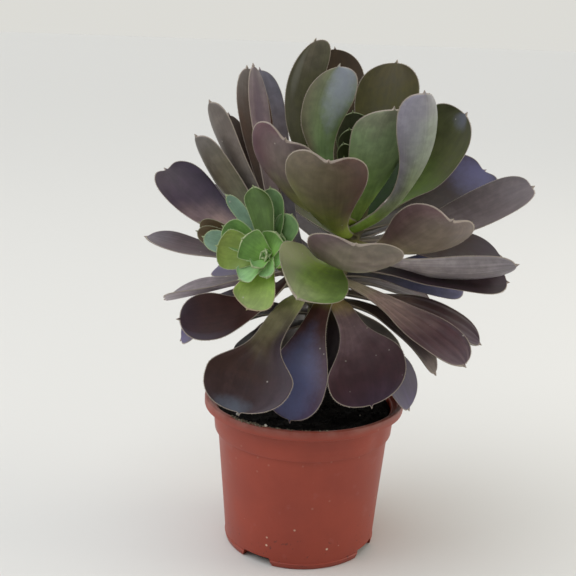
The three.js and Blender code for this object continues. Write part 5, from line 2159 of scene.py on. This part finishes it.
@dataclass
class Studio:
    """The pale floor, the soft lights and the camera, in metres and degrees.

    The surround goes from its first strength to its last along its span from front to back. A lamp
    is a name, a place, a size, a power and a colour.
    """

    camera_place: tuple = (-0.0118, -0.561, 0.304)
    pitch: float = 14.6
    roll: float = 2.0
    focal_share: float = 985.0 / 576.0
    sensor_mm: float = 36.0
    floor_side: float = 60.0
    floor_color: str = "#d7d6d1"
    floor_roughness: float = 0.7
    world_color: str = "#f3f2ec"
    world_span: tuple = (-0.7, 0.3)
    world_strengths: tuple = (0.4, 0.8)
    sky_from: tuple = (-0.3, -0.1, 1.0)
    sky_angle: float = 75.0
    sky_strength: float = 1.7
    sky_color: str = "#ecf0fb"
    lamp_target: tuple = (0.0, 0.0, 0.15)
    lamps: tuple = (
        ("left", (-1.5, -0.4, 0.9), 1.0, 6.0, "#f6f8ff"),
        ("right", (1.5, 0.1, 0.8), 1.0, 8.0, "#fff6ea"),
    )

    def build(self) -> None:
        """Makes the floor, the lights and the camera."""
        self._floor()
        self._world()
        self._camera()
        self._sky()
        for lamp in self.lamps:
            self._lamp(*lamp)

    def _floor(self) -> None:
        """A plain pale floor."""
        half = self.floor_side / 2
        corners = [(-half, -half, 0), (half, -half, 0), (half, half, 0), (-half, half, 0)]
        mesh = bpy.data.meshes.new("floor")
        mesh.from_pydata(corners, [], [(0, 1, 2, 3)])
        material, _, shader = new_material("floor")
        shader.inputs["Base Color"].default_value = linear(self.floor_color)
        shader.inputs["Roughness"].default_value = self.floor_roughness
        mesh.materials.append(material)
        add_object("floor", mesh)

    def _world(self) -> None:
        """A pale surround, dim behind the camera's place as a room is."""
        world = bpy.data.worlds.new("studio")
        world.use_nodes = True
        graph = Graph(world.node_tree)
        surround = graph.add("ShaderNodeBackground")
        surround.inputs["Color"].default_value = linear(self.world_color)
        direction = graph.add("ShaderNodeSeparateXYZ")
        graph.feed(direction.inputs[0], graph.add("ShaderNodeTexCoord").outputs["Generated"])
        strength = graph.ramp(direction.outputs["Y"], *self.world_span, *self.world_strengths)
        graph.feed(surround.inputs["Strength"], strength)
        output = graph.add("ShaderNodeOutputWorld")
        graph.feed(output.inputs["Surface"], surround.outputs[0])
        bpy.context.scene.world = world

    @staticmethod
    def _light(name: str, kind: str, power: float, color: str, back: Vector) -> bpy.types.Object:
        """A light that shines the opposite way from a direction."""
        light = bpy.data.lights.new(name, kind)
        light.energy = power
        light.color = linear(color)[:3]
        holder = add_object(name, light)
        holder.rotation_euler = (-back).to_track_quat("-Z", "Y").to_euler()
        return holder

    def _sky(self) -> None:
        """Wide soft light from above, as strong far away as near the plant."""
        sky = self._light("sky", "SUN", self.sky_strength, self.sky_color, Vector(self.sky_from))
        sky.data.angle = math.radians(self.sky_angle)

    def _lamp(self, name: str, place: tuple, size: float, power: float, color: str) -> None:
        """A soft square light that faces the plant."""
        lamp = self._light(name, "AREA", power, color, Vector(place) - Vector(self.lamp_target))
        lamp.location = place
        lamp.data.size = size

    def _camera(self) -> None:
        """The camera at the photograph's angle."""
        pitch, roll = math.radians(self.pitch), math.radians(self.roll)
        forward = Vector((0, math.cos(pitch), -math.sin(pitch)))
        right = Vector((1, 0, 0))
        up = Vector((0, math.sin(pitch), math.cos(pitch)))
        x_axis = right * math.cos(roll) + up * math.sin(roll)
        y_axis = up * math.cos(roll) - right * math.sin(roll)
        turn = Matrix((x_axis, y_axis, -forward)).transposed()
        lens = bpy.data.cameras.new("camera")
        lens.sensor_width = self.sensor_mm
        lens.lens = self.focal_share * self.sensor_mm
        camera = add_object("camera", lens)
        camera.matrix_world = Matrix.Translation(self.camera_place) @ turn.to_4x4()
        bpy.context.scene.camera = camera
        bpy.context.scene.view_settings.view_transform = "Standard"


def main() -> None:
    """Builds the whole scene."""
    logging.basicConfig(level=logging.INFO, format="%(message)s")
    effects = Effects()
    skin = LeafSkin(effects)
    Studio().build()
    stem = Stem()
    axes = {Shoot.STEM: stem.main_axis(), Shoot.BRANCH: stem.branch_axis()}
    stem.build(BarkFinish().material(effects))
    Foliage().build(skin, axes)
    Crown().build(skin, stem)
    SideRosette().build(skin, axes[Shoot.BRANCH])
    Pot().build(PlasticFinish().material(effects))
    Peat().build(
        GrainFinish("peat", "#0a0908", "#191410").material(effects),
        GrainFinish("dry_crumbs", "#4e463c", "#9c907c").material(effects),
        GrainFinish("perlite", "#b8b4a8", "#e4e0d6", 0.8).material(effects),
    )


if __name__ == "__main__":
    main()
